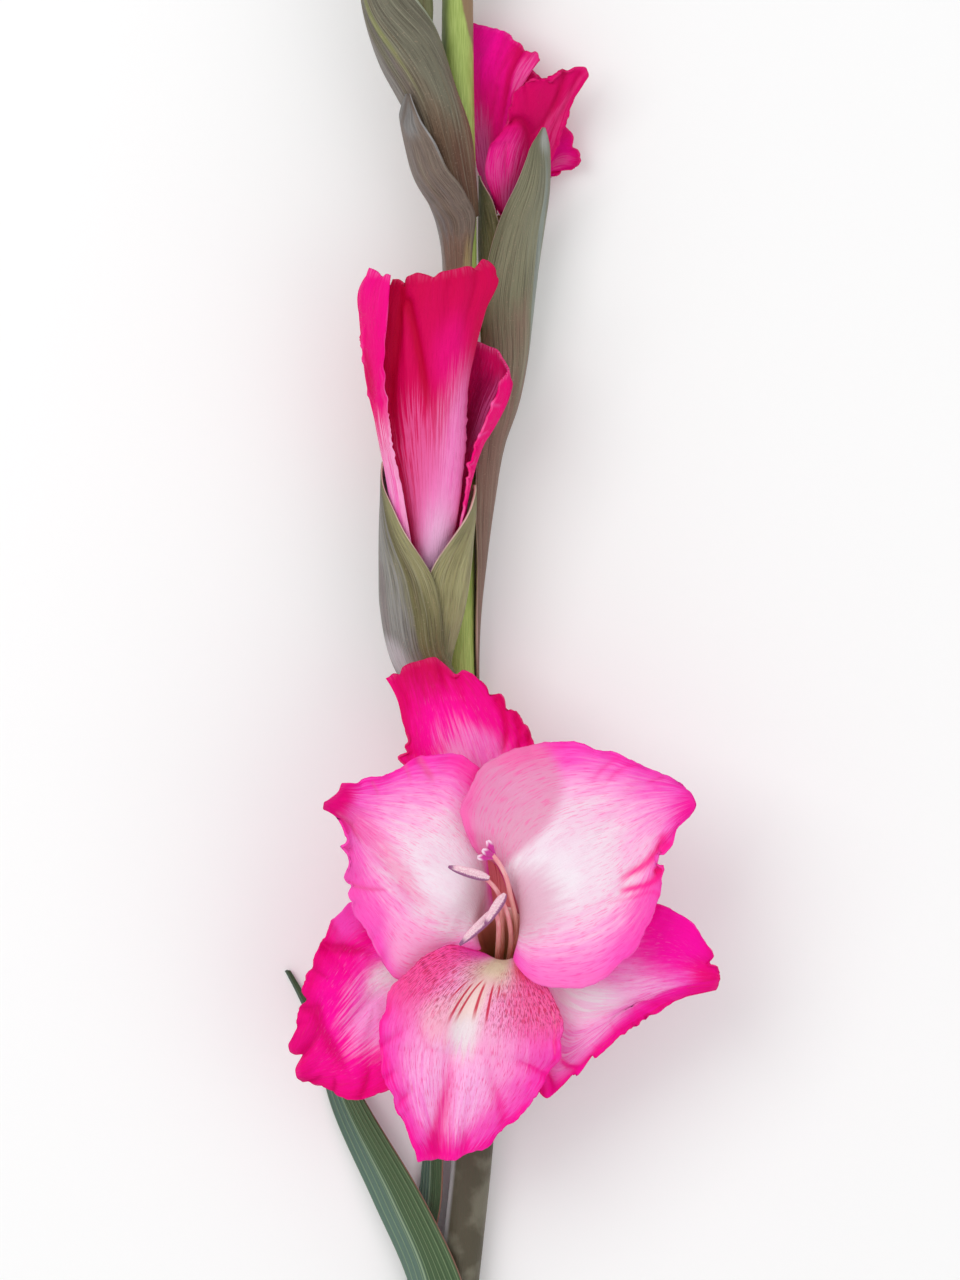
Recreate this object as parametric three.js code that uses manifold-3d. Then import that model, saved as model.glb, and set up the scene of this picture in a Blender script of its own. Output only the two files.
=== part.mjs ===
// A cut gladiolus spike lying on its back: one open bloom, a half-open bloom, a bloom seen from
// the side, a long bud and a tapering top of closed buds. Millimetres, +Z up, surface at z = 0.
// The stem runs along +Y and the origin is on the flat underside of the stem, below the open bloom.
import * as THREE from 'three';
import Module from 'manifold-3d';
import { mergeVertices } from 'three/addons/utils/BufferGeometryUtils.js';

// Driving dimensions.
const PETAL_THICKNESS = 0.7;
const LEAF_THICKNESS = 0.8;
const BRACT_THICKNESS = 0.7;
const SEAT_GAP = 0.4;
const FILAMENT_RADIUS = 0.62;
const ANTHER_RADIUS = 1.0;
const STYLE_RADIUS = 0.6;
const STIGMA_LOBE_RADIUS = 0.75;
const STEM_SIDES = 12;
const STEM_RINGS = 22;

// Mouth of the open bloom's tube: the ring on which its six petals are rooted.
const MOUTH_CENTRE = new THREE.Vector3(5.5, 30, 34);
const MOUTH_LEAN_DEG = 30;
const INNER_ROOT_RADIUS = 6.8;
const INNER_ROOT_LIFT = 0.9;
const OUTER_ROOT_RADIUS = 8.4;
const OUTER_ROOT_LIFT = -1.5;

const MATERIALS = {
  stem: { color: 0x94a85a, roughness: 0.55 },
  leaf: { color: 0x4f6d4a, roughness: 0.5 },
  bract: { color: 0x77756b, roughness: 0.55 },
  innerBract: { color: 0x82905f, roughness: 0.55 },
  bud: { color: 0x8fa063, roughness: 0.55 },
  petal: { color: 0xf0559f, roughness: 0.6 },
  deepPetal: { color: 0xe1106e, roughness: 0.6 },
  tube: { color: 0xd79aa2, roughness: 0.6 },
  filament: { color: 0xeba596, roughness: 0.5 },
  anther: { color: 0xa98bb0, roughness: 0.7 },
};

const manifoldModule = await Module();
manifoldModule.setup();

function rad(degrees) {
  return (degrees * Math.PI) / 180;
}

/** Slope of the smooth curve at knot k; a curve through three values is a plain parabola. */
function slopeAt(rows, knots, k) {
  const chord = (from, axis) => (
    (rows[from + 1][axis] - rows[from][axis]) / (knots[from + 1] - knots[from])
  );
  const last = rows.length - 1;
  return rows[k].map((_, axis) => {
    if (last === 1) {
      return chord(0, axis);
    }
    if (k === 0) {
      return 2 * chord(0, axis) - slopeAt(rows, knots, 1)[axis];
    }
    if (k === last) {
      return 2 * chord(last - 1, axis) - slopeAt(rows, knots, last - 1)[axis];
    }
    const before = knots[k] - knots[k - 1];
    const after = knots[k + 1] - knots[k];
    return (chord(k, axis) * before + chord(k - 1, axis) * after) / (before + after);
  });
}

/** Smooth curve through rows of numbers, as a function of u from 0 to 1. */
function smoothCurve(rows, knots) {
  const slopes = rows.map((_, k) => slopeAt(rows, knots, k));
  return (u) => {
    let k = 0;
    while (k < rows.length - 2 && u > knots[k + 1]) {
      k += 1;
    }
    const span = knots[k + 1] - knots[k];
    const f = (u - knots[k]) / span;
    const rise = f * f * (3 - 2 * f);
    const leave = f * (1 - f) * (1 - f) * span;
    const arrive = f * f * (f - 1) * span;
    return rows[k].map((value, axis) => (
      value * (1 - rise) + rows[k + 1][axis] * rise
      + slopes[k][axis] * leave + slopes[k + 1][axis] * arrive
    ));
  };
}

/** Smooth curve whose knots follow the distance between the points (first three numbers of a row). */
function rail(rows) {
  const knots = [0];
  for (let i = 1; i < rows.length; i += 1) {
    const [x, y, z] = rows[i];
    const [fromX, fromY, fromZ] = rows[i - 1];
    knots.push(knots[i - 1] + Math.hypot(x - fromX, y - fromY, z - fromZ));
  }
  const length = knots[knots.length - 1];
  return smoothCurve(rows, knots.map((knot) => knot / length));
}

/** Surface through lengthwise rails: s runs across from -1 to 1, t runs along from root to tip. */
function surfaceThrough(rails) {
  const curves = rails.map(rail);
  const knots = rails.map((_, i) => i / (rails.length - 1));
  return (s, t) => {
    const across = smoothCurve(curves.map((curve) => curve(t)), knots);
    return new THREE.Vector3(...across((s + 1) / 2));
  };
}

/** Unit normal of a surface, found from points a little to each side. */
function normalOf(surface, s, t) {
  const step = 0.01;
  const across = surface(s + step, t).sub(surface(s - step, t));
  const along = surface(s, t + step).sub(surface(s, t - step));
  return across.cross(along).normalize();
}

/** Waves and shallow scallops that are strongest on the free margin and fade out towards the root. */
function ruffled(surface, { height, scallop, waves, phase }) {
  const sideReach = 3;
  const tipReach = 4;
  const rootFade = 0.35;
  const middle = 0.45;
  return (s, t) => {
    const side = Math.min(Math.abs(s), 1);
    const end = Math.min(Math.max(t, 0), 1);
    const margin = 1 - (1 - side ** sideReach) * (1 - end ** tipReach);
    const fade = Math.min(end / rootFade, 1) ** 2;
    const turn = Math.atan2(s, t - middle);
    const swing = margin * fade * Math.sin(waves * turn + phase);
    const reach = 1 + scallop * margin * fade * Math.cos(waves * turn + phase);
    const outer = middle + (t - middle) * reach;
    return surface(s * reach, outer).addScaledVector(normalOf(surface, s, t), height * swing);
  };
}

/** Closed thin solid over a surface: a front sheet, a back sheet with the same cuts and a rim. */
function blade(surface, columns, rows, thickness) {
  const sheet = new THREE.PlaneGeometry(2, 1, columns, rows);
  const cells = sheet.getAttribute('position');
  const count = cells.count;
  const vertices = new Float32Array(count * 6);
  for (let i = 0; i < count; i += 1) {
    const s = cells.getX(i);
    const t = cells.getY(i) + 0.5;
    const point = surface(s, t);
    const normal = normalOf(surface, s, t);
    point.clone().addScaledVector(normal, thickness / 2).toArray(vertices, i * 3);
    point.clone().addScaledVector(normal, -thickness / 2).toArray(vertices, (count + i) * 3);
  }
  const front = Array.from(sheet.index.array);
  const faces = [...front];
  for (let i = 0; i < front.length; i += 3) {
    faces.push(count + front[i], count + front[i + 2], count + front[i + 1]);
  }
  const edge = rimOf(columns, rows);
  edge.forEach((from, i) => {
    const to = edge[(i + 1) % edge.length];
    faces.push(from, count + from, to, to, count + from, count + to);
  });
  const solid = new THREE.BufferGeometry();
  solid.setAttribute('position', new THREE.BufferAttribute(vertices, 3));
  solid.setIndex(faces);
  return solid;
}

/** Numbers of a sheet's outer vertices, in order round it with the sheet on the left. */
function rimOf(columns, rows) {
  const width = columns + 1;
  const rim = [];
  for (let row = 0; row < rows; row += 1) {
    rim.push(row * width);
  }
  for (let column = 0; column < columns; column += 1) {
    rim.push(rows * width + column);
  }
  for (let row = rows; row > 0; row -= 1) {
    rim.push(row * width + columns);
  }
  for (let column = columns; column > 0; column -= 1) {
    rim.push(column);
  }
  return rim;
}

/** Position, tangent and two cross directions at u on a curve; `over` lies on the side of `hint`. */
function frameOn(curve, u, hint) {
  const step = 0.005;
  const place = (value) => new THREE.Vector3(...curve(value).slice(0, 3));
  const tangent = place(u + step).sub(place(u - step)).normalize();
  const side = tangent.clone().cross(hint).normalize();
  const over = side.clone().cross(tangent);
  return { centre: place(u), tangent, side, over };
}

/** Round body turned about a bent axis. The profile lists [radius, place along the axis]. */
function turned(axisRows, profile, sides, hint = new THREE.Vector3(0, 0, 1)) {
  const curve = rail(axisRows);
  const outline = profile.map(([radius, along]) => new THREE.Vector2(radius, along));
  const startTurn = Math.PI / sides;
  const body = new THREE.LatheGeometry(outline, sides, startTurn);
  const position = body.getAttribute('position');
  for (let i = 0; i < position.count; i += 1) {
    const { centre, side, over } = frameOn(curve, position.getY(i), hint);
    centre.addScaledVector(side, position.getX(i)).addScaledVector(over, position.getZ(i));
    position.setXYZ(i, centre.x, centre.y, centre.z);
  }
  return welded(body);
}

/** Drops normals and texture places and joins the vertices that meet. */
function welded(geometry) {
  geometry.deleteAttribute('normal');
  geometry.deleteAttribute('uv');
  return mergeVertices(geometry, 1e-4);
}

/** Turned body that swells from `start` to `widest` and closes to a rounded point. */
function spindle(axisRows, { start, widest, sides, rings }) {
  const profile = [[0, 0]];
  for (let ring = 0; ring <= rings; ring += 1) {
    const along = ring / (rings + 1);
    const swell = Math.sin(Math.PI * along ** 0.8);
    const shrink = start * (1 - along) ** 2;
    profile.push([Math.max(widest * swell, shrink), along]);
  }
  profile.push([0, 1]);
  return turned(axisRows, profile, sides);
}

/** Joins closed bodies into one. */
function fused(bodies) {
  const solids = bodies.map((body) => new manifoldModule.Manifold(new manifoldModule.Mesh({
    numProp: 3,
    vertProperties: new Float32Array(body.getAttribute('position').array),
    triVerts: new Uint32Array(body.index.array),
  })));
  const mesh = solids.reduce((whole, solid) => whole.add(solid)).getMesh();
  const joined = new THREE.BufferGeometry();
  joined.setAttribute('position', new THREE.BufferAttribute(new Float32Array(mesh.vertProperties), 3));
  joined.setIndex(Array.from(mesh.triVerts));
  return joined;
}

/**
 * Wrapping leaf or bract. Each row is [x, y, z of its middle, half width, half depth, and the
 * angles of its two margins], with angles counted from the right-hand side over the top.
 */
function sheath(rows) {
  const curve = rail(rows);
  const hint = new THREE.Vector3(0, 0, 1);
  return (s, t) => {
    const [, , , halfWidth, halfDepth, from, to] = curve(t);
    const { centre, side, over } = frameOn(curve, t, hint);
    const angle = rad(from + ((to - from) * (s + 1)) / 2);
    return centre
      .addScaledVector(side, halfWidth * Math.cos(angle))
      .addScaledVector(over, halfDepth * Math.sin(angle));
  };
}

function named(name, geometry, look) {
  geometry.computeVertexNormals();
  const material = new THREE.MeshStandardMaterial({
    ...MATERIALS[look],
    metalness: 0,
    flatShading: true,
  });
  const mesh = new THREE.Mesh(geometry, material);
  mesh.name = name;
  return mesh;
}

// Stem: [x, y, z of its middle, radius]. Its lower part lies on the surface and is flat there.
const STEM_ROWS = [
  [-7, -138, 4.6, 5], [-7, -109, 4.6, 5], [-6.5, -84, 4.6, 4.9], [-6, -65, 4.6, 4.9],
  [-4, -45, 4.6, 4.9], [-2, -26, 4.6, 4.9], [-0.5, -2, 4.6, 4.9], [-0.5, 24, 4.5, 4.7],
  [-3, 57, 6.2, 4.4], [-5.2, 88, 8, 4.1], [-5.2, 120, 10, 4], [-5, 159, 12.5, 4],
  [-4.6, 192, 14.3, 3.8], [-4.6, 206, 15, 3.7], [-5.4, 236, 16, 3.9], [-5.4, 260, 16.5, 3.7],
  [-5, 292, 16.3, 3], [-6, 328, 15.5, 2.2], [-7, 356, 14.5, 1.3],
];

/** Middle and radius of the stem at a distance y along it. */
function stemAt(y) {
  const next = STEM_ROWS.findIndex((row) => row[1] > y);
  const below = STEM_ROWS[next - 1];
  const above = STEM_ROWS[next];
  const share = (y - below[1]) / (above[1] - below[1]);
  const [x, , z, radius] = below.map((value, i) => value + (above[i] - value) * share);
  return { x, z, radius };
}

function makeStem() {
  const radiusOn = rail(STEM_ROWS);
  const profile = [[0, 0]];
  for (let ring = 0; ring <= STEM_RINGS; ring += 1) {
    const along = ring / STEM_RINGS;
    profile.push([radiusOn(along)[3], along]);
  }
  profile.push([0, 1]);
  const body = turned(STEM_ROWS, profile, STEM_SIDES);
  const position = body.getAttribute('position');
  for (let i = 0; i < position.count; i += 1) {
    position.setZ(i, Math.max(position.getZ(i), 0));
  }
  return body;
}

// Long leaf in front of the stem's foot: sheathing below, bending away to the left above.
const FRONT_LEAF_RAILS = [
  [
    [-12.3, -109, 2.4], [-12.3, -85, 2.6], [-13, -72, 3.2], [-17.5, -55, 5], [-26, -36, 4],
    [-36, -14, 1.8], [-42.8, 10.5, 0.8], [-47.5, 20, 0.7],
  ],
  [
    [-11.9, -109, 8.3], [-11.7, -84.5, 8.3], [-12, -72, 8.5], [-14.5, -55, 8.4], [-22.5, -36, 6.2],
    [-33, -14, 3.2], [-42.3, 10.5, 1.3], [-47.3, 20, 0.9],
  ],
  [
    [-7, -109, 10.7], [-6.6, -84, 10.7], [-7.5, -72, 11], [-11, -55, 10.6], [-19.5, -35.5, 8.2],
    [-31, -14, 5.2], [-41.8, 10.5, 1.7], [-47, 20, 1],
  ],
  [
    [-2.1, -109, 8.4], [-1.6, -84.5, 8.4], [-2.6, -72, 9.8], [-8, -55, 11.2], [-17, -35.5, 8.7],
    [-29, -14, 6.2], [-41.2, 10.5, 1.9], [-46.7, 20, 1.1],
  ],
  [
    [-1.4, -109, 2.6], [-0.8, -85, 3.6], [-0.2, -72, 7.8], [-4.5, -54.5, 11.4], [-13.5, -35.5, 9.2],
    [-26.5, -14, 6.7], [-40.7, 10.5, 1.9], [-46.4, 20, 1.1],
  ],
];

// Short leaf behind it.
const BACK_LEAF_RAILS = [
  [
    [-12.7, -131, 2.5], [-14, -114.5, 1.8], [-17.6, -85, 1.2], [-18, -60.5, 1.1], [-15, -36, 1.3],
    [-13.5, -21.5, 1.6], [-12, -2, 2], [-11, 15.5, 3],
  ],
  [
    [-12.2, -131, 7.6], [-14.4, -114, 6], [-16.7, -85, 3.5], [-16.5, -60.5, 2.4], [-11.5, -36, 3],
    [-11, -21.5, 3.5], [-10.5, -1.5, 4], [-10.5, 15.5, 4],
  ],
  [
    [-8.5, -131, 10.2], [-12.6, -113.5, 8.6], [-15.9, -84.5, 5.2], [-15, -60.5, 3.2],
    [-9.5, -36, 5], [-9, -21, 5.5], [-8.5, -1.5, 6], [-10, 15.5, 5.5],
  ],
];

function makeLeaves() {
  return [
    named('leaf_front', blade(surfaceThrough(FRONT_LEAF_RAILS), 6, 20, LEAF_THICKNESS), 'leaf'),
    named('leaf_back', blade(surfaceThrough(BACK_LEAF_RAILS), 4, 16, LEAF_THICKNESS), 'leaf'),
  ];
}

const mouthAxis = new THREE.Vector3(0, Math.sin(rad(MOUTH_LEAN_DEG)), Math.cos(rad(MOUTH_LEAN_DEG)));
const mouthRise = new THREE.Vector3(0, Math.cos(rad(MOUTH_LEAN_DEG)), -Math.sin(rad(MOUTH_LEAN_DEG)));

/** Root point of a petal on the tube's mouth; 0 degrees is right, 90 is towards the spike's top. */
function mouthPoint(degrees, radius, lift) {
  return MOUTH_CENTRE.clone()
    .add(new THREE.Vector3(radius * Math.cos(rad(degrees)), 0, 0))
    .addScaledVector(mouthRise, radius * Math.sin(rad(degrees)))
    .addScaledVector(mouthAxis, lift)
    .toArray();
}

const innerRoot = (degrees) => mouthPoint(degrees, INNER_ROOT_RADIUS, INNER_ROOT_LIFT);
const outerRoot = (degrees) => mouthPoint(degrees, OUTER_ROOT_RADIUS, OUTER_ROOT_LIFT);

// Petals of the open bloom: rails from the mouth of the tube to the petal's tip.
const OPEN_PETALS = [
  {
    name: 'tepal_upper_right',
    ruffle: { height: 1.1, scallop: 0.025, waves: 9, phase: 0.6 },
    rails: [
      [
        innerRoot(72), [3.4, 48, 38], [-1.2, 51, 45], [-4, 57.5, 48.5], [-2.5, 66.5, 49],
        [6.5, 74.5, 47.5], [19, 76.5, 45.5], [34.5, 73, 44.5], [47.5, 66.5, 45],
      ],
      [
        innerRoot(25), [9.5, 37.5, 40], [11.5, 41.5, 45.5], [20, 47.5, 47.5], [33, 54, 46.5],
        [42.5, 59.5, 46], [51, 62.5, 45.5],
      ],
      [
        innerRoot(-30), [8, 25, 42.5], [12, 20, 46], [20, 18, 48.5], [29.5, 21, 50],
        [37.5, 28.5, 49.5], [42, 39, 49], [43, 50, 48], [50, 59, 46],
      ],
    ],
  },
  {
    name: 'tepal_upper_left',
    ruffle: { height: 1.1, scallop: 0.025, waves: 8, phase: 1.5 },
    rails: [
      [
        innerRoot(218), [-1.4, 26.4, 39.2], [-9.5, 22.5, 41.5], [-19, 20, 43], [-27, 31.5, 45.5],
        [-32, 44, 47], [-31, 55, 47], [-36.5, 60, 46],
      ],
      [
        innerRoot(155), [-1.5, 39, 39], [-4.5, 42.5, 43.5], [-12, 48, 45.5], [-22.5, 54, 45],
        [-30.5, 59.5, 45.5], [-36, 62.5, 46],
      ],
      [
        innerRoot(108), [2, 45.5, 34], [1, 55.5, 38], [2, 66.5, 41], [-3, 73, 42], [-13, 73, 43],
        [-24, 68.5, 44.5], [-33, 67, 47.5],
      ],
    ],
  },
  {
    name: 'tepal_lip',
    ruffle: { height: 1, scallop: 0.025, waves: 9, phase: 0 },
    rails: [
      [
        innerRoot(-58), [11.5, 23.5, 40], [16.5, 17.5, 42.5], [19.5, 9, 43], [18.5, 0.5, 42.5],
        [13.5, -7.5, 41], [7.5, -14.5, 40], [1.5, -20, 38.5],
      ],
      [
        innerRoot(-90), [2.5, 21, 43.3], [-0.5, 16.5, 45.7], [-4, 8.5, 46.6], [-5.5, 0, 44.8],
        [-6.5, -11, 41.6], [-7, -23.5, 38],
      ],
      [
        innerRoot(-132), [-2, 27.2, 42.6], [-7.5, 28.5, 48], [-15, 24.5, 47.5], [-21, 17.5, 46],
        [-24, 7, 45], [-22.5, -4, 43.5], [-18.5, -14, 41], [-14.5, -22.5, 38],
      ],
    ],
  },
  {
    name: 'tepal_lower_right',
    ruffle: { height: 1, scallop: 0.025, waves: 10, phase: 0.9 },
    rails: [
      [
        outerRoot(15), [20, 31.5, 34], [28.5, 34, 36.5], [40.5, 38.5, 38], [48, 35, 38],
        [54, 29, 36.5], [57.5, 21.5, 33],
      ],
      [
        outerRoot(-8), [18.5, 26.5, 34.6], [26, 25, 36.4], [36.5, 26.5, 37.5], [46, 26.5, 37.2],
        [53, 23.5, 35.2], [57.6, 20.3, 32.8],
      ],
      [
        outerRoot(-30), [17, 21, 35], [24, 16.5, 36.4], [32, 15.5, 37], [44, 18, 36.4],
        [57.5, 19.5, 32.5],
      ],
      [
        outerRoot(-51), [13, 16, 35.1], [14.8, 7, 36], [19.5, 1.5, 36.2], [26.5, 5.5, 37.3],
        [34.5, 12, 37.7], [45.5, 16.5, 36.3], [57, 18.3, 32.8],
      ],
      [
        outerRoot(-72), [9.5, 14, 35], [10.5, 4, 36], [15.5, -8, 35], [24, -2, 37], [34, 6.5, 38],
        [46.5, 14, 36], [56.5, 17, 33],
      ],
    ],
  },
  {
    name: 'tepal_lower_left',
    ruffle: { height: 1.1, scallop: 0.025, waves: 10, phase: 2.2 },
    rails: [
      [
        outerRoot(-105), [-1, 14, 35], [-5.5, 7.5, 36], [-14, -1.5, 36.5], [-21.5, -6, 36],
        [-28.5, -9.5, 34], [-36.5, -7, 32], [-42.5, -5, 31],
      ],
      [
        outerRoot(-150), [-7, 23.5, 35], [-14.5, 21, 36], [-24, 16, 36], [-32, 8, 35.4],
        [-39.5, 0, 33], [-43.5, -2, 31.5],
      ],
      [
        outerRoot(165), [-8, 33, 34], [-18, 37.5, 37], [-30.5, 38.5, 39], [-37, 30, 39],
        [-41, 21.5, 37.5], [-43.5, 11.5, 35], [-44.5, 5, 33],
      ],
    ],
  },
  {
    name: 'tepal_top',
    ruffle: { height: 1, scallop: 0.025, waves: 9, phase: 0.4 },
    rails: [
      [
        outerRoot(130), [-2.5, 45.5, 31], [-11.5, 62.5, 36], [-16.5, 72, 36.5], [-18, 80.5, 36],
        [-19.5, 86, 35.5], [-22.5, 91.5, 34],
      ],
      [
        outerRoot(90), [5, 45.5, 29.5], [0, 62.5, 33.4], [-5, 74.5, 35], [-8.5, 85.5, 35.4],
        [-12, 96.5, 33.5],
      ],
      [
        outerRoot(50), [9.5, 48, 31.5], [14, 62.5, 36], [13, 76, 37], [9, 83, 37], [5, 87, 36.5],
        [-0.5, 91.5, 35.5],
      ],
    ],
  },
];

// Tube of the open bloom, from the stem's side to the mouth: axis, then [radius, place along].
const OPEN_TUBE_AXIS = [
  [4, -9, 11], [5, 4, 13.5], [5.5, 15.5, 17.5], [5.5, 23.5, 23.8], [5.5, 28, 30.5],
  MOUTH_CENTRE.toArray(),
];
const OPEN_TUBE_PROFILE = [
  [0, 0], [2.5, 0], [2.6, 0.3], [3.3, 0.55], [5.6, 0.8], [7.9, 1], [7.2, 1], [4.9, 0.81],
  [2.2, 0.64], [0, 0.62],
];

// Stamens and style of the open bloom; each anther runs between two points.
const FILAMENTS = {
  filament_left: [
    [4.5, 21.8, 22.6], [5.2, 27.5, 31], [5.2, 33.5, 37.5], [5, 39, 43], [3.5, 42, 46.5],
    [1.2, 44.4, 48.9],
  ],
  filament_middle: [
    [6, 20.4, 22.8], [7.2, 26.1, 31.5], [7.4, 30.7, 37.5], [6.6, 35.2, 42], [5.4, 38.6, 45.8],
  ],
  filament_right: [
    [4.6, 20.2, 23.8], [4.2, 25, 31.5], [4.4, 29.5, 37], [4.4, 32.8, 40.6], [3.8, 36, 43.8],
  ],
};
const ANTHERS = {
  anther_left: [[2.2, 44.4, 50.7], [-7.5, 47.2, 51.6]],
  anther_middle: [[6, 40.6, 47.2], [1.2, 33.4, 49]],
  anther_right: [[4.6, 37.4, 45.4], [-4.8, 28.6, 49.6]],
};
const STYLE_ROWS = [
  [6.6, 22.6, 23.6], [8.6, 29, 32.5], [8.6, 34, 38.5], [7.4, 39.5, 43.2], [5.8, 45.5, 48],
  [3, 50, 51.5],
];
const STIGMA_LOBES = [
  [[3.6, 49.4, 51], [0.6, 51.2, 53.4]],
  [[3.6, 49.4, 51], [-0.6, 49.4, 52.6]],
  [[3.6, 49.4, 51], [1.8, 53.4, 52.2]],
];

function evenProfile(radius, rings) {
  const profile = [[0, 0]];
  for (let ring = 0; ring <= rings; ring += 1) {
    profile.push([radius, ring / rings]);
  }
  profile.push([0, 1]);
  return profile;
}

function makeStamens() {
  const towardsTop = new THREE.Vector3(0, 1, 0);
  const filaments = Object.entries(FILAMENTS).map(([name, rows]) => (
    named(name, turned(rows, evenProfile(FILAMENT_RADIUS, 7), 6, towardsTop), 'filament')
  ));
  const antherProfile = [
    [0, 0], [0.6, 0.04], [ANTHER_RADIUS, 0.25], [ANTHER_RADIUS, 0.7], [0.5, 0.95], [0, 1],
  ];
  const anthers = Object.entries(ANTHERS).map(([name, rows]) => (
    named(name, turned(rows, antherProfile, 8), 'anther')
  ));
  const shaft = turned(STYLE_ROWS, evenProfile(STYLE_RADIUS, 8), 6, towardsTop);
  const lobeProfile = [[0, 0], [0.4, 0], [STIGMA_LOBE_RADIUS, 0.75], [0.5, 0.95], [0, 1]];
  const lobes = STIGMA_LOBES.map((rows) => turned(rows, lobeProfile, 6));
  return [...filaments, ...anthers, named('style', fused([shaft, ...lobes]), 'filament')];
}

function makeOpenBloom() {
  const petals = OPEN_PETALS.map(({ name, rails, ruffle }) => (
    named(name, blade(ruffled(surfaceThrough(rails), ruffle), 9, 20, PETAL_THICKNESS), 'petal')
  ));
  const tube = named('open_bloom_tube', turned(OPEN_TUBE_AXIS, OPEN_TUBE_PROFILE, 14), 'tube');
  return [tube, ...petals, ...makeStamens()];
}

// Bracts: rows of [x, y, z, half width, half depth, margin angle, margin angle].
const BRACTS = {
  open_bloom_bract_outer: [
    [3, -16, 10.4, 1.6, 1.6, 140, -30], [4, -10, 11.2, 3.5, 3.5, 145, -35],
    [4.6, -4, 12.3, 4.6, 4.6, 160, -55], [5.1, 6, 14.2, 5.1, 5.1, 175, -70],
    [5.4, 15, 17.5, 5.8, 5.8, 152, -60], [5.5, 21, 21.6, 6.4, 6.4, 110, -35],
    [5.5, 25, 25.6, 7.3, 7.3, 60, 20],
  ],
  open_bloom_bract_inner: [
    [4.3, -5, 12, 3.2, 3.2, 225, 135], [4.9, 3, 13.5, 3.6, 3.6, 240, 105],
    [5.3, 11, 15.9, 3.9, 3.9, 235, 105], [5.5, 17, 18.8, 4.4, 4.4, 215, 115],
    [5.5, 20.5, 21.4, 5, 5, 190, 140],
  ],
  half_open_bract_outer: [
    [-8.1, 79, 11.1, 1.6, 1.6, 225, 45], [-9, 84, 12.6, 4, 4, 235, 35],
    [-10.6, 90, 15, 6.3, 6.1, 245, 38], [-13, 97.5, 18, 8.4, 7.7, 250, 54],
    [-13.2, 110, 21, 10.9, 8.7, 250, 68], [-12.8, 117, 22, 11.4, 9, 245, 82],
    [-12.5, 128, 23.5, 11.6, 9.4, 235, 120], [-12.3, 136, 24.5, 11.5, 9.8, 222, 150],
    [-12.3, 140, 25.1, 11.4, 9.9, 211, 172],
    [-12.3, 143.5, 25.6, 11.3, 10, 199, 190],
  ],
  half_open_bract_inner: [
    [-11.6, 92, 16, 4.3, 4, 70, -30], [-13, 98, 18.4, 6.6, 5.8, 76, -40],
    [-13, 110, 21.2, 9.4, 7.2, 88, -60], [-12.6, 117, 22.2, 10.1, 7.6, 88, -60],
    [-12.3, 127, 23.5, 10.7, 8.3, 55, -55], [-12, 133, 24.3, 10.9, 8.7, 28, -45],
    [-11.9, 136, 24.7, 10.8, 8.9, 14, -34],
    [-11.8, 138.5, 25, 10.6, 9, -4, -14],
  ],
  side_bloom_bract_outer: [
    [-5.2, 90, 8.1, 4.8, 4.8, 14, -60], [-5, 105, 8.9, 4.9, 4.6, 32, -80],
    [-4.2, 120, 9.8, 5.6, 5, 50, -95], [-2.2, 135, 10.3, 5.6, 5.5, 78, -105],
    [0.5, 150, 10, 5.6, 5.8, 100, -110], [3.2, 160, 9.8, 6.3, 6, 120, -115],
    [5, 170, 9.9, 6.5, 6.2, 135, -120], [6.2, 181, 10.5, 6.6, 6.3, 152, -115],
    [7.6, 193, 11.4, 6.6, 6.4, 144, -90], [9.2, 203, 12.4, 6.5, 6.3, 128, -60],
    [10.6, 211, 13.5, 6.2, 6, 108, -42], [12, 217.5, 15, 5, 5.2, 98, -25],
    [13.5, 222.5, 16.6, 3.4, 3.8, 92, 10], [14.5, 225.6, 17.6, 2.2, 2.6, 68, 50],
  ],
  side_bloom_bract_inner: [
    [5.4, 172, 10.2, 4.4, 4.4, 200, 60], [5.5, 184, 10.3, 5.2, 4.2, 205, 80],
    [5.6, 195, 10.6, 5.8, 4.2, 208, 85], [6, 203, 11.2, 6.2, 4.8, 208, 105],
    [6.4, 209, 11.8, 6.5, 4.8, 206, 130], [6.5, 213.5, 12.2, 6.6, 4.8, 192, 172],
  ],
  left_bud_bract_long: [
    [-4.8, 203.5, 15, 4.4, 4.4, 218, 8], [-5.4, 208, 16.4, 4.8, 5, 225, 8],
    [-6.4, 213, 18.2, 5.4, 5.5, 236, 10], [-8.5, 221.5, 21, 6.6, 5.9, 245, 10],
    [-12, 231, 23, 6.7, 6.2, 265, -10], [-17, 243, 23.5, 7.8, 6.6, 280, 0],
    [-21.2, 255, 23.5, 7.2, 7, 290, 45], [-23, 267.5, 22.8, 6.2, 6, 285, 75],
    [-25, 278, 21.8, 4, 4.2, 265, 95], [-26.5, 286, 20.8, 2, 2.2, 230, 130],
  ],
  left_bud_bract_short: [
    [-4.8, 183, 14.1, 4.6, 4.6, 190, 50], [-4.7, 196, 14.8, 4.5, 4.6, 195, 50],
    [-4.9, 200, 15.2, 5, 5.1, 200, 45], [-5.4, 204, 16.3, 5.5, 5.8, 208, 42],
    [-6.6, 208.5, 18, 6, 6.6, 218, 60], [-9.6, 215, 20.8, 6.7, 7.4, 228, 76],
    [-11.2, 222, 22.6, 7, 7.8, 220, 90], [-12.2, 227, 23.6, 7, 7.9, 200, 108],
    [-12.8, 230, 24.2, 6.8, 7.7, 156, 116], [-13, 232.5, 24.5, 6.5, 7.5, 136, 126],
  ],
  left_bud_bract_green: [
    [-12.5, 233, 22.3, 5.6, 4.7, 90, -60], [-16.9, 243, 22.8, 5.3, 4.7, 120, -70],
    [-17.6, 255, 23, 5.9, 3.9, 130, -80], [-20.5, 268, 22.2, 5, 4.2, 130, -90],
    [-22.4, 280, 21.2, 3.2, 3, 130, -90], [-23.6, 290, 20.4, 1.4, 1.4, 110, -60],
  ],
};

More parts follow.
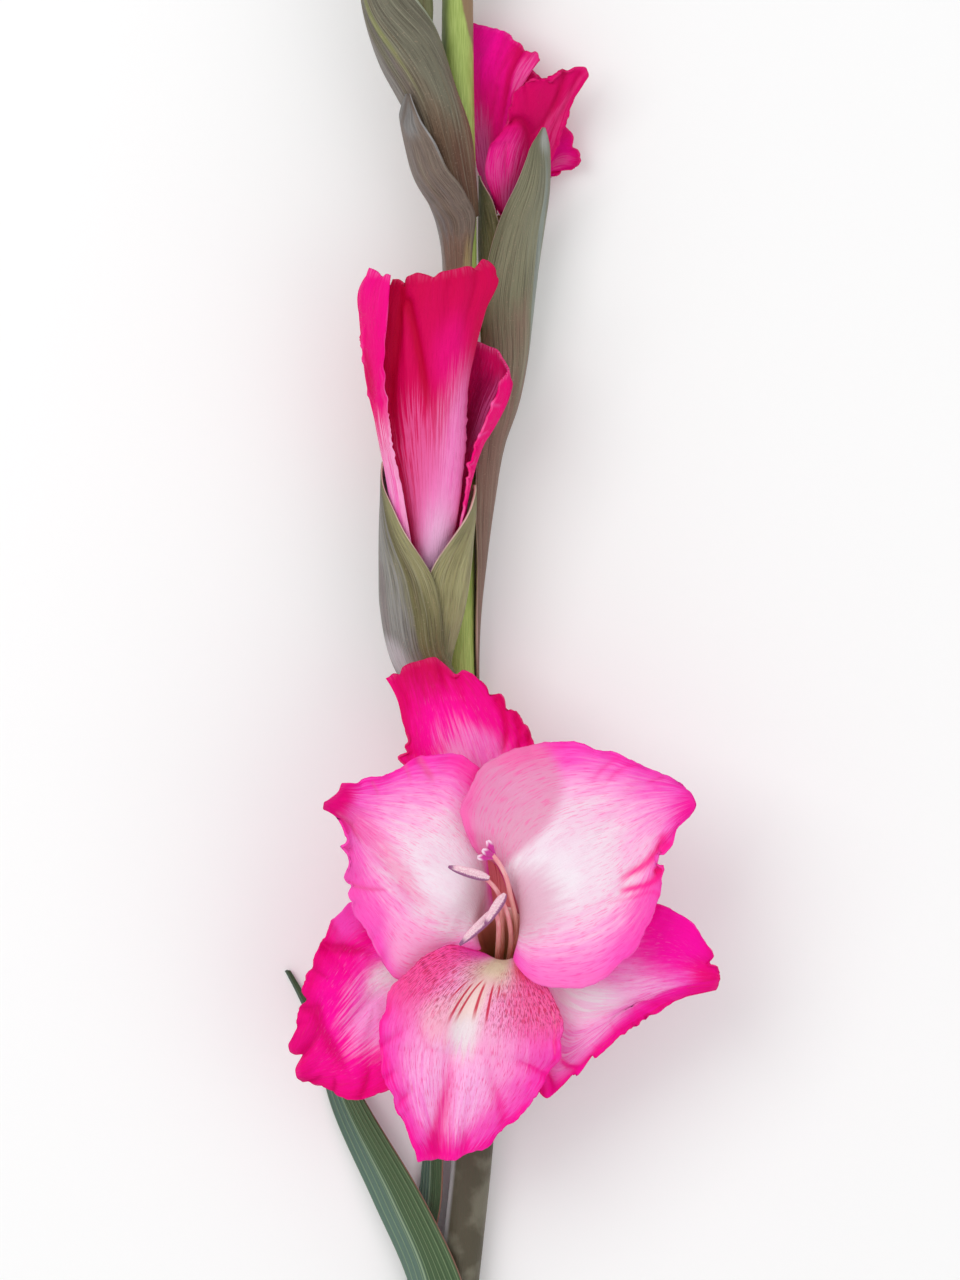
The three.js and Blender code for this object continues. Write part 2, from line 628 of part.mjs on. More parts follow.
const BRACT_LOOKS = {
  open_bloom_bract_inner: 'innerBract',
  half_open_bract_inner: 'innerBract',
  side_bloom_bract_inner: 'innerBract',
  left_bud_bract_green: 'innerBract',
};

function makeBracts() {
  return Object.entries(BRACTS).map(([name, rows]) => {
    const look = BRACT_LOOKS[name] ?? 'bract';
    return named(name, blade(sheath(rows), 6, rows.length + 1, BRACT_THICKNESS), look);
  });
}

// Half-open bloom: a short tube inside the bracts and petals still folded round one another.
const HALF_OPEN_TUBE_AXIS = [[-9.2, 86, 12.4], [-12, 98, 18], [-12.6, 110, 20.9]];
const HALF_OPEN_PETALS = [
  {
    name: 'half_open_tepal_front',
    ruffle: { height: 0.7, scallop: 0.02, waves: 8, phase: 0.3 },
    rails: [
      [
        [-13.8, 110.5, 22.5], [-16.5, 125, 25], [-19, 137, 27.6], [-22, 149, 29.4],
        [-24, 158.5, 30.4], [-24.4, 170.5, 31.4], [-23.4, 181, 33], [-21.6, 187, 34.4],
      ],
      [
        [-12, 110, 24], [-11.5, 125, 28.5], [-10.5, 139, 32], [-10, 158, 36], [-9.5, 175, 39],
        [-9, 188.5, 40.5],
      ],
      [
        [-10, 110.5, 22.5], [-6.8, 123.5, 25.2], [-4.9, 134.5, 27.8], [-3.5, 146.5, 30.2],
        [-3, 158.5, 32.2], [-1.5, 170.5, 34], [1, 179.5, 36], [4, 189, 37], [2, 191.5, 38],
      ],
    ],
  },
  {
    name: 'half_open_tepal_left',
    ruffle: { height: 0.8, scallop: 0.02, waves: 10, phase: 1.2 },
    rails: [
      [
        [-14.8, 111.4, 18], [-16.6, 125, 18], [-18, 139.5, 18.5], [-20, 154, 19],
        [-21.5, 168.5, 20], [-23, 178, 21], [-24, 185.5, 23],
      ],
      [
        [-15.6, 111, 20.4], [-20.2, 124, 25.2], [-22.3, 139.5, 26.8], [-25, 153.5, 28],
        [-27, 165.5, 29], [-28.5, 177.5, 29], [-28.5, 185, 30], [-26, 189, 31],
      ],
      [
        [-14.5, 112.5, 23.8], [-16.4, 123.5, 28.8], [-18.6, 136.5, 32.5], [-20.8, 146.5, 34.5],
        [-22, 156, 36.5], [-23, 165.5, 38], [-22.5, 175, 39], [-21.5, 182, 39], [-21.5, 187.5, 38],
      ],
    ],
  },
  {
    name: 'half_open_tepal_right',
    ruffle: { height: 0.7, scallop: 0.02, waves: 9, phase: 2 },
    rails: [
      [
        [-9, 111, 21.8], [-5.6, 123.5, 26.9], [-3.6, 134.5, 29.4], [-2, 144, 32], [0.6, 151, 34.5],
        [2.8, 157, 35], [5, 163, 34],
      ],
      [
        [-8, 110.5, 19.6], [-3.9, 125, 22.6], [-3.1, 137, 24.4], [-0.6, 146, 26], [3.5, 156, 28],
        [6.3, 162, 29], [6, 168, 30],
      ],
      [
        [-9.4, 111.4, 18.2], [-7.6, 125, 18.9], [-6.2, 139.5, 20.6], [-4.6, 154, 22.5],
        [-2.6, 166, 24], [-0.6, 173, 26],
      ],
    ],
  },
  {
    name: 'half_open_tepal_back',
    ruffle: { height: 0.7, scallop: 0.02, waves: 8, phase: 0.8 },
    rails: [
      [[-10.6, 111.7, 17.8], [-8, 130, 17], [-6.4, 149, 18.6], [-5, 166, 20.4], [-0.5, 178.5, 24]],
      [
        [-12, 111.7, 17.2], [-11.5, 130, 15.5], [-11.5, 149, 17], [-10.5, 166, 18.8],
        [-8.5, 184, 21.5],
      ],
      [
        [-13.4, 111.7, 17.7], [-14.6, 130, 16], [-16.6, 149, 17], [-18.4, 166, 18.8],
        [-18.6, 180.5, 21.5],
      ],
    ],
  },
  {
    name: 'half_open_tepal_core_left',
    ruffle: { height: 0.5, scallop: 0.02, waves: 7, phase: 0.1 },
    rails: [
      [[-12, 111, 19], [-12, 128, 19.8], [-12.5, 146, 21.5], [-14, 162, 23.5]],
      [[-13, 111, 18.8], [-14.8, 128, 21.5], [-17, 146, 24], [-19.2, 164, 26]],
      [[-12.8, 111, 20.8], [-14.2, 128, 24.6], [-16.4, 146, 28.4], [-18, 162, 31]],
    ],
  },
  {
    name: 'half_open_tepal_core_right',
    ruffle: { height: 0.5, scallop: 0.02, waves: 7, phase: 1.4 },
    rails: [
      [[-11, 111, 21], [-9, 128, 25], [-7.4, 146, 28.6], [-6.4, 158, 31]],
      [[-10, 111, 19.4], [-8, 128, 22.4], [-6.6, 146, 25.4], [-5.4, 160, 27.6]],
      [[-10.6, 111, 18.8], [-9, 128, 20.4], [-8.6, 146, 22.6], [-8, 158, 24.6]],
    ],
  },
];

// Bloom on the right, seen from the side and partly under the stem.
const SIDE_TUBE_AXIS = [[0.7, 153.5, 10.2], [4.4, 172, 10.2], [6, 190, 9.6], [6, 203.8, 8.8]];
const SIDE_PETALS = [
  {
    name: 'side_bloom_tepal_left',
    ruffle: { height: 0.7, scallop: 0.02, waves: 8, phase: 0.5 },
    rails: [
      [[4.2, 204.6, 6.4], [-0.3, 215.5, 5], [-3, 230, 4.8], [-4, 242.5, 5], [-2.5, 251.5, 6]],
      [[3.2, 204.6, 8.4], [2.4, 215, 9], [2, 229.5, 10.2], [3, 241.5, 11], [6.5, 248, 12]],
      [[4, 204.6, 10.6], [5, 215, 12], [7.4, 227, 14], [10.4, 235, 15.6], [14.4, 241, 16]],
    ],
  },
  {
    name: 'side_bloom_tepal_front',
    ruffle: { height: 0.6, scallop: 0.02, waves: 8, phase: 1.1 },
    rails: [
      [
        [5, 204.7, 11.6], [2.8, 209, 13.2], [1.1, 215, 15.2], [2.2, 219.6, 15.8], [5.7, 224.6, 17],
        [9.5, 234.5, 18.5], [16.5, 236, 18.5],
      ],
      [[6.8, 204.7, 12], [9.6, 214.5, 13], [13.6, 226.5, 15.2], [18, 234, 17.2], [23, 239, 18]],
      [
        [8.6, 204.7, 10.8], [13.4, 212.5, 8.8], [18, 219, 9.6], [21, 227, 12.5], [23.5, 232.8, 15],
        [26, 237.5, 16],
      ],
    ],
  },
  {
    name: 'side_bloom_tepal_right',
    ruffle: { height: 0.7, scallop: 0.02, waves: 8, phase: 0.2 },
    rails: [
      [[9, 204.6, 8.4], [12.4, 212.5, 6.4], [17, 220, 7], [20.5, 226, 9]],
      [[8.8, 204.6, 7.2], [13.5, 212, 5], [19.5, 219, 5.6], [24.5, 219, 6.6]],
      [[8.2, 204.6, 6.4], [12, 210, 4.4], [16.5, 213.5, 3.6], [22, 215.5, 4]],
    ],
  },
  {
    name: 'side_bloom_tepal_back',
    ruffle: { height: 0.3, scallop: 0.02, waves: 7, phase: 0.9 },
    rails: [
      [[7, 204.6, 5.5], [9.4, 212, 2.2], [12, 219, 1.3], [14.5, 228, 1.2], [17, 236, 2]],
      [[6, 204.6, 5.2], [5.6, 211, 2], [6, 219, 0.8], [8, 233, 0.7], [10.5, 242, 1.5]],
      [
        [4.9, 204.6, 5.4], [2, 211, 2.8], [0.4, 219, 1.6], [0, 230.5, 1.5], [1, 242.5, 1.5],
        [5, 246, 3],
      ],
    ],
  },
  {
    name: 'side_bloom_tepal_inner',
    ruffle: { height: 0.5, scallop: 0.02, waves: 7, phase: 1.7 },
    rails: [
      [[5.2, 204.6, 7.4], [2.6, 220, 7.2], [1.4, 234.5, 8], [3.5, 244, 9.2]],
      [[6, 204.6, 8.6], [6.4, 220, 9.4], [8, 233, 11.2], [11.5, 239.5, 12.2]],
      [[7, 204.6, 8.2], [10.4, 220, 9.4], [14, 229.5, 11.4], [18.5, 234, 12.6]],
    ],
  },
];

function makeFoldedBlooms() {
  const petals = [...HALF_OPEN_PETALS, ...SIDE_PETALS].map(({ name, rails, ruffle }) => (
    named(name, blade(ruffled(surfaceThrough(rails), ruffle), 5, 12, PETAL_THICKNESS), 'deepPetal')
  ));
  const halfOpenProfile = [[0, 0], [1.6, 0], [2.2, 0.4], [3.4, 1], [0, 1]];
  const sideProfile = [[0, 0], [1.6, 0], [2, 0.4], [2.6, 0.8], [3.5, 1], [0, 1]];
  return [
    named('half_open_tube', turned(HALF_OPEN_TUBE_AXIS, halfOpenProfile, 8), 'tube'),
    named('side_bloom_tube', turned(SIDE_TUBE_AXIS, sideProfile, 8), 'tube'),
    ...petals,
  ];
}

// Closed buds of the spike's top, in two ranks: side +1 is right and -1 is left.
const UPPER_BUDS = [
  { name: 'bud_third', side: 1, node: 258, length: 50, width: 3.1 },
  { name: 'bud_fourth', side: -1, node: 279, length: 46, width: 2.6 },
  { name: 'bud_fifth', side: 1, node: 310, length: 38, width: 2.2 },
  { name: 'bud_sixth', side: -1, node: 330, length: 28, width: 1.8 },
];

/** Closed bud: a spindle beside the stem and one bract that clasps the stem and wraps the spindle. */
function makeUpperBud({ name, side, node, length, width }) {
  const outward = side > 0 ? 0 : 180;
  const beside = (share, lean) => {
    const y = node + share * length;
    const stem = stemAt(Math.min(y, STEM_ROWS[STEM_ROWS.length - 1][1] - 1));
    return [stem.x + side * (stem.radius + width + SEAT_GAP + lean), y, stem.z + 1.5 * share];
  };
  const core = spindle(
    [beside(0.3, 0.1), beside(0.5, 0.3), beside(0.75, 0), beside(1, -width)],
    { start: 0.3 * width, widest: width, sides: 8, rings: 7 },
  );
  const clasp = (share, margin) => {
    const y = node + share * length;
    const stem = stemAt(y);
    const radius = stem.radius + SEAT_GAP + BRACT_THICKNESS / 2;
    return [stem.x, y, stem.z, radius, radius, outward + margin, outward - margin];
  };
  const wrap = (share, lean, swell, margin) => {
    const radius = width * swell + SEAT_GAP + BRACT_THICKNESS;
    return [...beside(share, lean), radius, radius, outward + margin, outward - margin];
  };
  const leave = (share, moved, margin) => {
    const held = clasp(share, margin);
    const free = wrap(share, 0.2, 0.95, margin);
    return held.map((value, i) => value + (free[i] - value) * moved);
  };
  const rows = [
    clasp(0, 75), clasp(0.07, 80), leave(0.17, 0.3, 88), leave(0.29, 0.72, 96),
    wrap(0.42, 0.3, 0.98, 106), wrap(0.56, 0.3, 0.98, 110), wrap(0.71, 0.1, 0.8, 105),
    wrap(0.86, -0.4 * width, 0.5, 85), wrap(0.96, -0.8 * width, 0.2, 40),
  ];
  return [
    named(`${name}_core`, core, 'bud'),
    named(`${name}_bract`, blade(sheath(rows), 5, 9, BRACT_THICKNESS), 'bract'),
  ];
}

function makeSpikeTip() {
  const [x, y, z] = STEM_ROWS[STEM_ROWS.length - 1];
  const rows = [[x, y + SEAT_GAP, z], [x - 0.6, y + 9, z], [x - 1.6, y + 18, z - 0.5]];
  return named('spike_tip', spindle(rows, { start: 1.2, widest: 1.9, sides: 8, rings: 6 }), 'bud');
}

const gladiolus = new THREE.Group();
gladiolus.name = 'gladiolus';
gladiolus.add(named('stem', makeStem(), 'stem'));
gladiolus.add(...makeLeaves());
gladiolus.add(...makeOpenBloom());
gladiolus.add(...makeFoldedBlooms());
gladiolus.add(...makeBracts());
UPPER_BUDS.forEach((bud) => gladiolus.add(...makeUpperBud(bud)));
gladiolus.add(makeSpikeTip());

export default gladiolus;
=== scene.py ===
"""A cut gladiolus spike lying on its back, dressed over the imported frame. Numbers in tables are
millimetres in the frame's own axes: +Y along the stem, +Z up, the surface at z = 0."""

import math

import bmesh
import bpy
import numpy as np
from bpy.props import FloatProperty, FloatVectorProperty, PointerProperty
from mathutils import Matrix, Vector


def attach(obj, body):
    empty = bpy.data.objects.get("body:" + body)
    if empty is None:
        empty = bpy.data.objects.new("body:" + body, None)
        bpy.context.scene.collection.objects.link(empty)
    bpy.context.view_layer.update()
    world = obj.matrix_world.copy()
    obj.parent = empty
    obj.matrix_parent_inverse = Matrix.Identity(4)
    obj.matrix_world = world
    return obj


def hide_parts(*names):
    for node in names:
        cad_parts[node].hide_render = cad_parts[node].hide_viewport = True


bl_info = {
    "name": "Gladiolus spike",
    "version": (1, 0, 0),
    "blender": (4, 5, 0),
    "location": "3D View > Sidebar > Gladiolus",
    "description": "Petals, bracts, leaves and stem of a cut gladiolus, and a plain stage for it",
    "category": "Object",
}

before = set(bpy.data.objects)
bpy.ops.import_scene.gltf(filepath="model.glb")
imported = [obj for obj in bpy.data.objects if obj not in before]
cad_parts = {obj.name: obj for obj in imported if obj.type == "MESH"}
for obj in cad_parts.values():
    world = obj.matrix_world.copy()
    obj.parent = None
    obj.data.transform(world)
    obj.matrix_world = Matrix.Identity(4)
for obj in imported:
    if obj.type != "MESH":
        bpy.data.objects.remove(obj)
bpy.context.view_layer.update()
MM = 0.001
FLOOR_GAP = 0.05 * MM
FLOOR_HALF_SIZE = 3.0
CAMERA_LENS = 175.8
CAMERA_SENSOR = 36.0
CAMERA_REACH = 20.0
CAMERA_PLACE = (0, 100.8 * MM, 1530 * MM)
# Soft lights: name, share of the window's power, size and place, in metres; they face LIT_PLACE.
LIGHTS = (("window", 1.0, 0.7, (-0.55, 0.45, 1.0)), ("fill", 0.35, 0.9, (0.7, -0.3, 0.9)))
LIT_PLACE = (0, 0.1, 0)


def shade(code):
    """The linear values that materials take, from a display colour such as "#f3e5ef"."""
    values = [int(code[i:i + 2], 16) / 255 for i in (1, 3, 5)]
    return tuple(c / 12.92 if c <= 0.04045 else ((c + 0.055) / 1.055) ** 2.4 for c in values)


WHITE = "#f3e5ef"
# Dull pink painted as the shade on a petal's lobe that curls up over the throat.
PAINTED_SHADE_PINK = "#e292b6"
HOT = "#fe029a"
DEEP = "#ea0076"
LILAC = "#fca8e6"
CRIMSON = "#d20054"


# Settings a user may change.


class PetalSettings(bpy.types.PropertyGroup):
    thickness: FloatProperty(
        name="Thickness", description="Thickness of a petal at its middle",
        default=0.6 * MM, min=0.2 * MM, subtype="DISTANCE", unit="LENGTH")
    frill: FloatProperty(
        name="Frill", description="How deep the waves of the margins are; 1 is as grown",
        default=1.0, min=0.0, max=2.0, subtype="FACTOR")
    veins: FloatProperty(
        name="Veins", description="How strongly the fine dark veins are drawn; 1 is as grown",
        default=1.0, min=0.0, max=2.0, subtype="FACTOR")
    relief: FloatProperty(
        name="Vein relief", description="Height of the fine veins above the petal",
        default=0.3 * MM, min=0.0, subtype="DISTANCE", unit="LENGTH")


class GreenSettings(bpy.types.PropertyGroup):
    bract_thickness: FloatProperty(
        name="Bract thickness", description="Thickness of the bracts at their middle",
        default=0.6 * MM, min=0.2 * MM, subtype="DISTANCE", unit="LENGTH")
    leaf_thickness: FloatProperty(
        name="Leaf thickness", description="Thickness of the leaves at their middle",
        default=0.7 * MM, min=0.2 * MM, subtype="DISTANCE", unit="LENGTH")
    stem_colour: FloatVectorProperty(
        name="Stem colour", description="Fresh green of the stem",
        default=shade("#96aa56"), min=0.0, max=1.0, size=3, subtype="COLOR")
    leaf_colour: FloatVectorProperty(
        name="Leaf colour", description="Dark green of the leaves",
        default=shade("#3c5634"), min=0.0, max=1.0, size=3, subtype="COLOR")
    # Bluish grey laid on the left of the bracts: partly waxy bloom, partly a painted highlight.
    wax_and_highlight_colour: FloatVectorProperty(
        name="Wax colour", description="Bluish grey waxy bloom on the bracts",
        default=shade("#94928f"), min=0.0, max=1.0, size=3, subtype="COLOR")


class StageSettings(bpy.types.PropertyGroup):
    floor_colour: FloatVectorProperty(
        name="Floor colour", description="Colour of the plain floor",
        default=(0.93, 0.93, 0.93), min=0.0, max=1.0, size=3, subtype="COLOR")
    sky: FloatProperty(
        name="Sky light", description="Strength of the even light from all round",
        default=0.78, min=0.0)
    window: FloatProperty(
        name="Window light", description="Power of the large soft light above the left side",
        default=4.2, min=0.0, subtype="POWER", unit="POWER")


# Curves and surfaces.


def slopes_of(rows, knots):
    """Slopes at the knots; a curve through three rows is a plain parabola."""
    spans = np.diff(knots).reshape(-1, *[1] * (rows.ndim - 1))
    chords = np.diff(rows, axis=0) / spans
    if len(rows) == 2:
        return np.repeat(chords, 2, axis=0)
    before = spans[:-1]
    after = spans[1:]
    inner = (chords[1:] * before + chords[:-1] * after) / (before + after)
    first = 2 * chords[:1] - inner[:1]
    last = 2 * chords[-1:] - inner[-1:]
    return np.concatenate([first, inner, last])


def between(rows, slopes, knots, place):
    """The smooth curve at each place. A table of rows serves every place; a stack has its own rows."""
    k = np.clip(np.searchsorted(knots, place) - 1, 0, len(knots) - 2)
    own = (np.arange(len(place)),) if rows.ndim == 3 else ()
    span = (knots[k + 1] - knots[k])[:, None]
    f = (place - knots[k])[:, None] / span
    rise = f * f * (3 - 2 * f)
    leave = f * (1 - f) ** 2 * span
    arrive = f * f * (f - 1) * span
    start = (k, *own)
    end = (k + 1, *own)
    return rows[start] * (1 - rise) + rows[end] * rise + slopes[start] * leave + slopes[end] * arrive


def rail(rows):
    """Smooth curve through rows of numbers, spaced by the distance between their points."""
    table = np.array(rows, float)
    steps = np.linalg.norm(np.diff(table[:, :3], axis=0), axis=1)
    knots = np.concatenate([[0], np.cumsum(steps)]) / steps.sum()
    slopes = slopes_of(table, knots)
    return lambda u: between(table, slopes, knots, np.asarray(u, float))


def surface_through(rails):
    """Surface through lengthwise rails: s runs across from -1 to 1, t along from root to tip."""
    curves = [rail(rows) for rows in rails]
    knots = np.linspace(0, 1, len(rails))

    def surface(s, t):
        lines = np.stack([curve(t) for curve in curves])
        return between(lines, slopes_of(lines, knots), knots, (s + 1) / 2)

    return surface


def unit(vectors):
    return vectors / np.linalg.norm(vectors, axis=1, keepdims=True)


def normal_of(surface, s, t, step=0.01):
    across = surface(s + step, t) - surface(s - step, t)
    along = surface(s, t + step) - surface(s, t - step)
    return unit(np.cross(across, along))


def frames_on(curve, u, hint):
    """Position and two cross directions at each u on a curve; the second lies on hint's side."""
    step = 0.005
    tangent = unit(curve(u + step)[:, :3] - curve(u - step)[:, :3])
    side = unit(np.cross(tangent, np.broadcast_to(hint, tangent.shape)))
    return curve(u), side, np.cross(side, tangent)


def sheath(rows):
    """Wrapping leaf or bract. Each row is x, y, z of its middle, half width, half depth and the
    angles of its two margins, counted from the right-hand side over the top."""
    curve = rail(rows)

    def surface(s, t):
        values, side, over = frames_on(curve, t, (0, 0, 1))
        angle = np.radians(values[:, 5] + (values[:, 6] - values[:, 5]) * (s + 1) / 2)
        width = (values[:, 3] * np.cos(angle))[:, None]
        depth = (values[:, 4] * np.sin(angle))[:, None]
        return values[:, :3] + side * width + over * depth

    return surface


def margin_of(s, t, side_reach, tip_reach):
    """0 at the middle of a petal and 1 on its free margin."""
    side = np.minimum(np.abs(s), 1)
    end = np.clip(t, 0, 1)
    return 1 - (1 - side ** side_reach) * (1 - end ** tip_reach)


def beside_line(places, line):
    """Distance of each place from a line of points, and how far along the line it is nearest."""
    starts, steps = line[:-1], np.diff(line, axis=0)
    offsets = places[:, None] - starts
    share = np.clip(np.sum(offsets * steps, axis=2) / np.sum(steps * steps, axis=1), 0, 1)
    gaps = np.linalg.norm(offsets - share[..., None] * steps, axis=2)
    nearest = np.argmin(gaps, axis=1)
    row = np.arange(len(places))
    return gaps[row, nearest], (nearest + share[row, nearest]) / len(steps)


# How closely each kind of wave keeps to the side margins and to the tip: higher is closer.
LONG_WAVES = (2.6, 4)
CRIMPS = (8, 12)
NICKS = (24, 30)
THIN_EDGE = (8, 10)
EDGE_THICKNESS_SHARE = 0.45
# Parts of an uneven wave: pitch, size and lag.
WAVE_PARTS = ((1.0, 0.6, 1.0), (1.41, 0.45, 2.3), (1.87, 0.3, 4.1), (0.53, 0.4, 0.7))


def uneven_wave(turn, waves, phase):
    """A wave round a margin that never quite repeats, between about -1 and 1."""
    return sum(size * np.sin(pitch * waves * turn + lag * phase) for pitch, size, lag in WAVE_PARTS)


def folded(surface, petal):
    """Folds and lobes of a petal: how far they lift and push it, and how deep in a fold it is, which
    weights the shade painted along the fold. A fold deepens from the first of its (across, along)
    points to the last."""
    lines = []
    for path, width, height, tint in petal.get("folds", ()):
        points = np.array(path, float)
        places = between(points, slopes_of(points, np.arange(len(points))), np.arange(len(points)),
                         np.linspace(0, len(points) - 1, 12))
        lines.append((surface(places[:, 0], places[:, 1]), width, height, tint))

    def shape(flat):
        lift = np.zeros(len(flat))
        push = np.zeros(len(flat))
        depth = np.zeros(len(flat))
        for line, width, height, tint in lines:
            gap, along = beside_line(flat, line)
            strength = np.exp(-(gap / width) ** 2) * np.sqrt(np.clip(along * 2.2 + 0.04, 0, 1))
            lift = lift + height * strength
            depth = depth + tint * strength
        for s, t, reach, outward, upward in petal.get("lobes", ()):
            centre = surface(np.array([s]), np.array([t]))
            strength = np.exp(-(np.linalg.norm(flat - centre, axis=1) / reach) ** 2)
            push = push + outward * strength
            lift = lift + upward * strength
        return lift, push, depth

    return shape


def frilled(surface, petal, frill):
    """Long waves, shorter crimps and nicks round the margin, and the petal's own folds and lobes.
    The fourth number at each place is how deep in a fold it is, for the shade painted in the folds."""
    waves, phase = petal["waves"], petal["phase"]
    folds = folded(surface, petal)
    centre = surface(np.zeros(1), np.full(1, 0.5))
    ends = np.array([0.0, 1.0])
    sides = surface(np.array([-0.6, 0.6]), np.full(2, 0.5))
    lengths = surface(np.zeros(2), 0.1 + 0.85 * ends)
    rightward = unit(sides[1:] - sides[:1])[0]
    upward = unit(lengths[1:] - lengths[:1])[0]

    def shaped(s, t):
        flat = surface(s, t)
        normal = normal_of(surface, s, t)
        away = flat - centre
        turn = np.arctan2(away @ rightward, away @ upward)
        outward = away - normal * np.sum(away * normal, axis=1, keepdims=True)
        outward = outward / (np.linalg.norm(outward, axis=1, keepdims=True) + 1.0)
        fade = frill * np.clip(t / petal.get("calm", 0.35), 0, 1) ** 2
        broad = margin_of(s, t, *LONG_WAVES) * fade
        narrow = margin_of(s, t, *CRIMPS) * fade
        rim = margin_of(s, t, *NICKS) * fade
        swell = 0.6 + 0.4 * np.sin(2.3 * turn + 2 * phase)
        lift, push, depth = folds(flat)
        lift = lift + petal["height"] * broad * swell * uneven_wave(turn, waves, phase)
        lift = lift + petal.get("crimp", 0.5) * narrow * uneven_wave(turn, 2.7 * waves, phase + 1)
        push = push + petal["scallop"] * narrow * uneven_wave(turn, 1.3 * waves, phase + 2)
        push = push + petal.get("teeth", 0.1) * rim * uneven_wave(turn, 6.1 * waves, phase + 3)
        places = flat + normal * lift[:, None] + outward * push[:, None]
        return np.column_stack([places, depth])

    return shaped


# Meshes.


def shown(mesh, name, material):
    """Puts a bmesh on show as an object."""
    data = bpy.data.meshes.new(name)
    mesh.to_mesh(data)
    mesh.free()
    data.materials.append(material)
    piece = bpy.data.objects.new(name, data)
    bpy.context.scene.collection.objects.link(piece)
    return piece


def finished(mesh, node, material, thickness=None, name=None):
    """Shows a bmesh as the piece that stands for a node of the frame. A sheet gets its thickness
    here, and is thinner at its margin."""
    piece = shown(mesh, name or f"{node}_dressed", material)
    data = piece.data
    data.shade_smooth()
    if thickness:
        body = piece.vertex_groups.new(name="body")
        along = data.attributes["along"].data
        across = data.attributes["across"].data
        for i in range(len(data.vertices)):
            edge = margin_of(across[i].value, along[i].value, *THIN_EDGE)
            body.add([i], float(1 - edge), "REPLACE")
        wall = piece.modifiers.new("Thickness", "SOLIDIFY")
        wall.thickness = thickness
        wall.offset = 0
        wall.vertex_group = body.name
        wall.thickness_vertex_group = EDGE_THICKNESS_SHARE
    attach(piece, "root")
    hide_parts(node)


def sheet(surface, columns, rows):
    """A grid laid on a surface. It carries `across`, `along` and `fold` for its material; `fold` is
    the fourth number of the surface, or 0, and sets where the material paints shade in the folds."""
    mesh = bmesh.new()
    across = mesh.verts.layers.float.new("across")
    along = mesh.verts.layers.float.new("along")
    fold = mesh.verts.layers.float.new("fold")
    bmesh.ops.create_grid(mesh, x_segments=columns, y_segments=rows, size=1)
    verts = list(mesh.verts)
    s = np.array([v.co.x for v in verts])
    t = np.array([(v.co.y + 1) / 2 for v in verts])
    for v, place, side, up in zip(verts, surface(s, t), s, t):
        v.co = Vector(place[:3]) * MM
        v[across] = side
        v[along] = up
        v[fold] = place[3] if len(place) > 3 else 0.0
    return mesh


def turned(axis_rows, profile, sides, hint=(0, 0, 1), section=None):
    """A profile of (radius, place along) spun round and bent along an axis. `section` may change
    the radius by the angle round. `across` is 1 on the right and `above` 1 on the side of hint;
    `path` runs from 0 to 1 over the profile."""
    mesh = bmesh.new()
    across = mesh.verts.layers.float.new("across")
    above = mesh.verts.layers.float.new("above")
    along = mesh.verts.layers.float.new("along")
    path = mesh.verts.layers.float.new("path")
    line = [mesh.verts.new((radius, 0, place)) for radius, place in profile]
    for i, v in enumerate(line):
        v[path] = i / (len(line) - 1)
    edges = [mesh.edges.new(pair) for pair in zip(line, line[1:])]
    bmesh.ops.spin(mesh, geom=line + edges, cent=(0, 0, 0), axis=(0, 0, 1), angle=math.tau,
                   steps=sides, use_merge=True)
    bmesh.ops.remove_doubles(mesh, verts=mesh.verts, dist=1e-5)
    verts = list(mesh.verts)
    flat = np.array([v.co for v in verts])
    angle = np.arctan2(flat[:, 1], flat[:, 0])
    radius = np.hypot(flat[:, 0], flat[:, 1])
    if section:
        radius = radius * section(angle, flat[:, 2])
    values, side, over = frames_on(rail(axis_rows), flat[:, 2], hint)
    places = values[:, :3] + side * (radius * np.cos(angle))[:, None]
    places = places + over * (radius * np.sin(angle))[:, None]
    for v, place, turn, up in zip(verts, places, angle, flat[:, 2]):
        v.co = Vector(place) * MM
        v[across] = math.cos(turn)
        v[above] = math.sin(turn)
        v[along] = up
    bmesh.ops.recalc_face_normals(mesh, faces=mesh.faces)
    return mesh


def even_profile(radii, rings):
    """Closed profile whose radius runs smoothly through evenly spaced values."""
    table = np.array(radii, float)[:, None]
    knots = np.linspace(0, 1, len(radii))
    places = np.linspace(0, 1, rings)
    values = between(table, slopes_of(table, knots), knots, places)[:, 0]
    return [(0, 0), *zip(np.maximum(values, 0.05), places), (0, 1)]


def joined(parts):
    """One mesh out of several."""
    whole = bmesh.new()
    for part in parts:
        data = bpy.data.meshes.new("part")
        part.to_mesh(data)
        part.free()
        whole.from_mesh(data)
        bpy.data.meshes.remove(data)
    return whole


# Finishes.


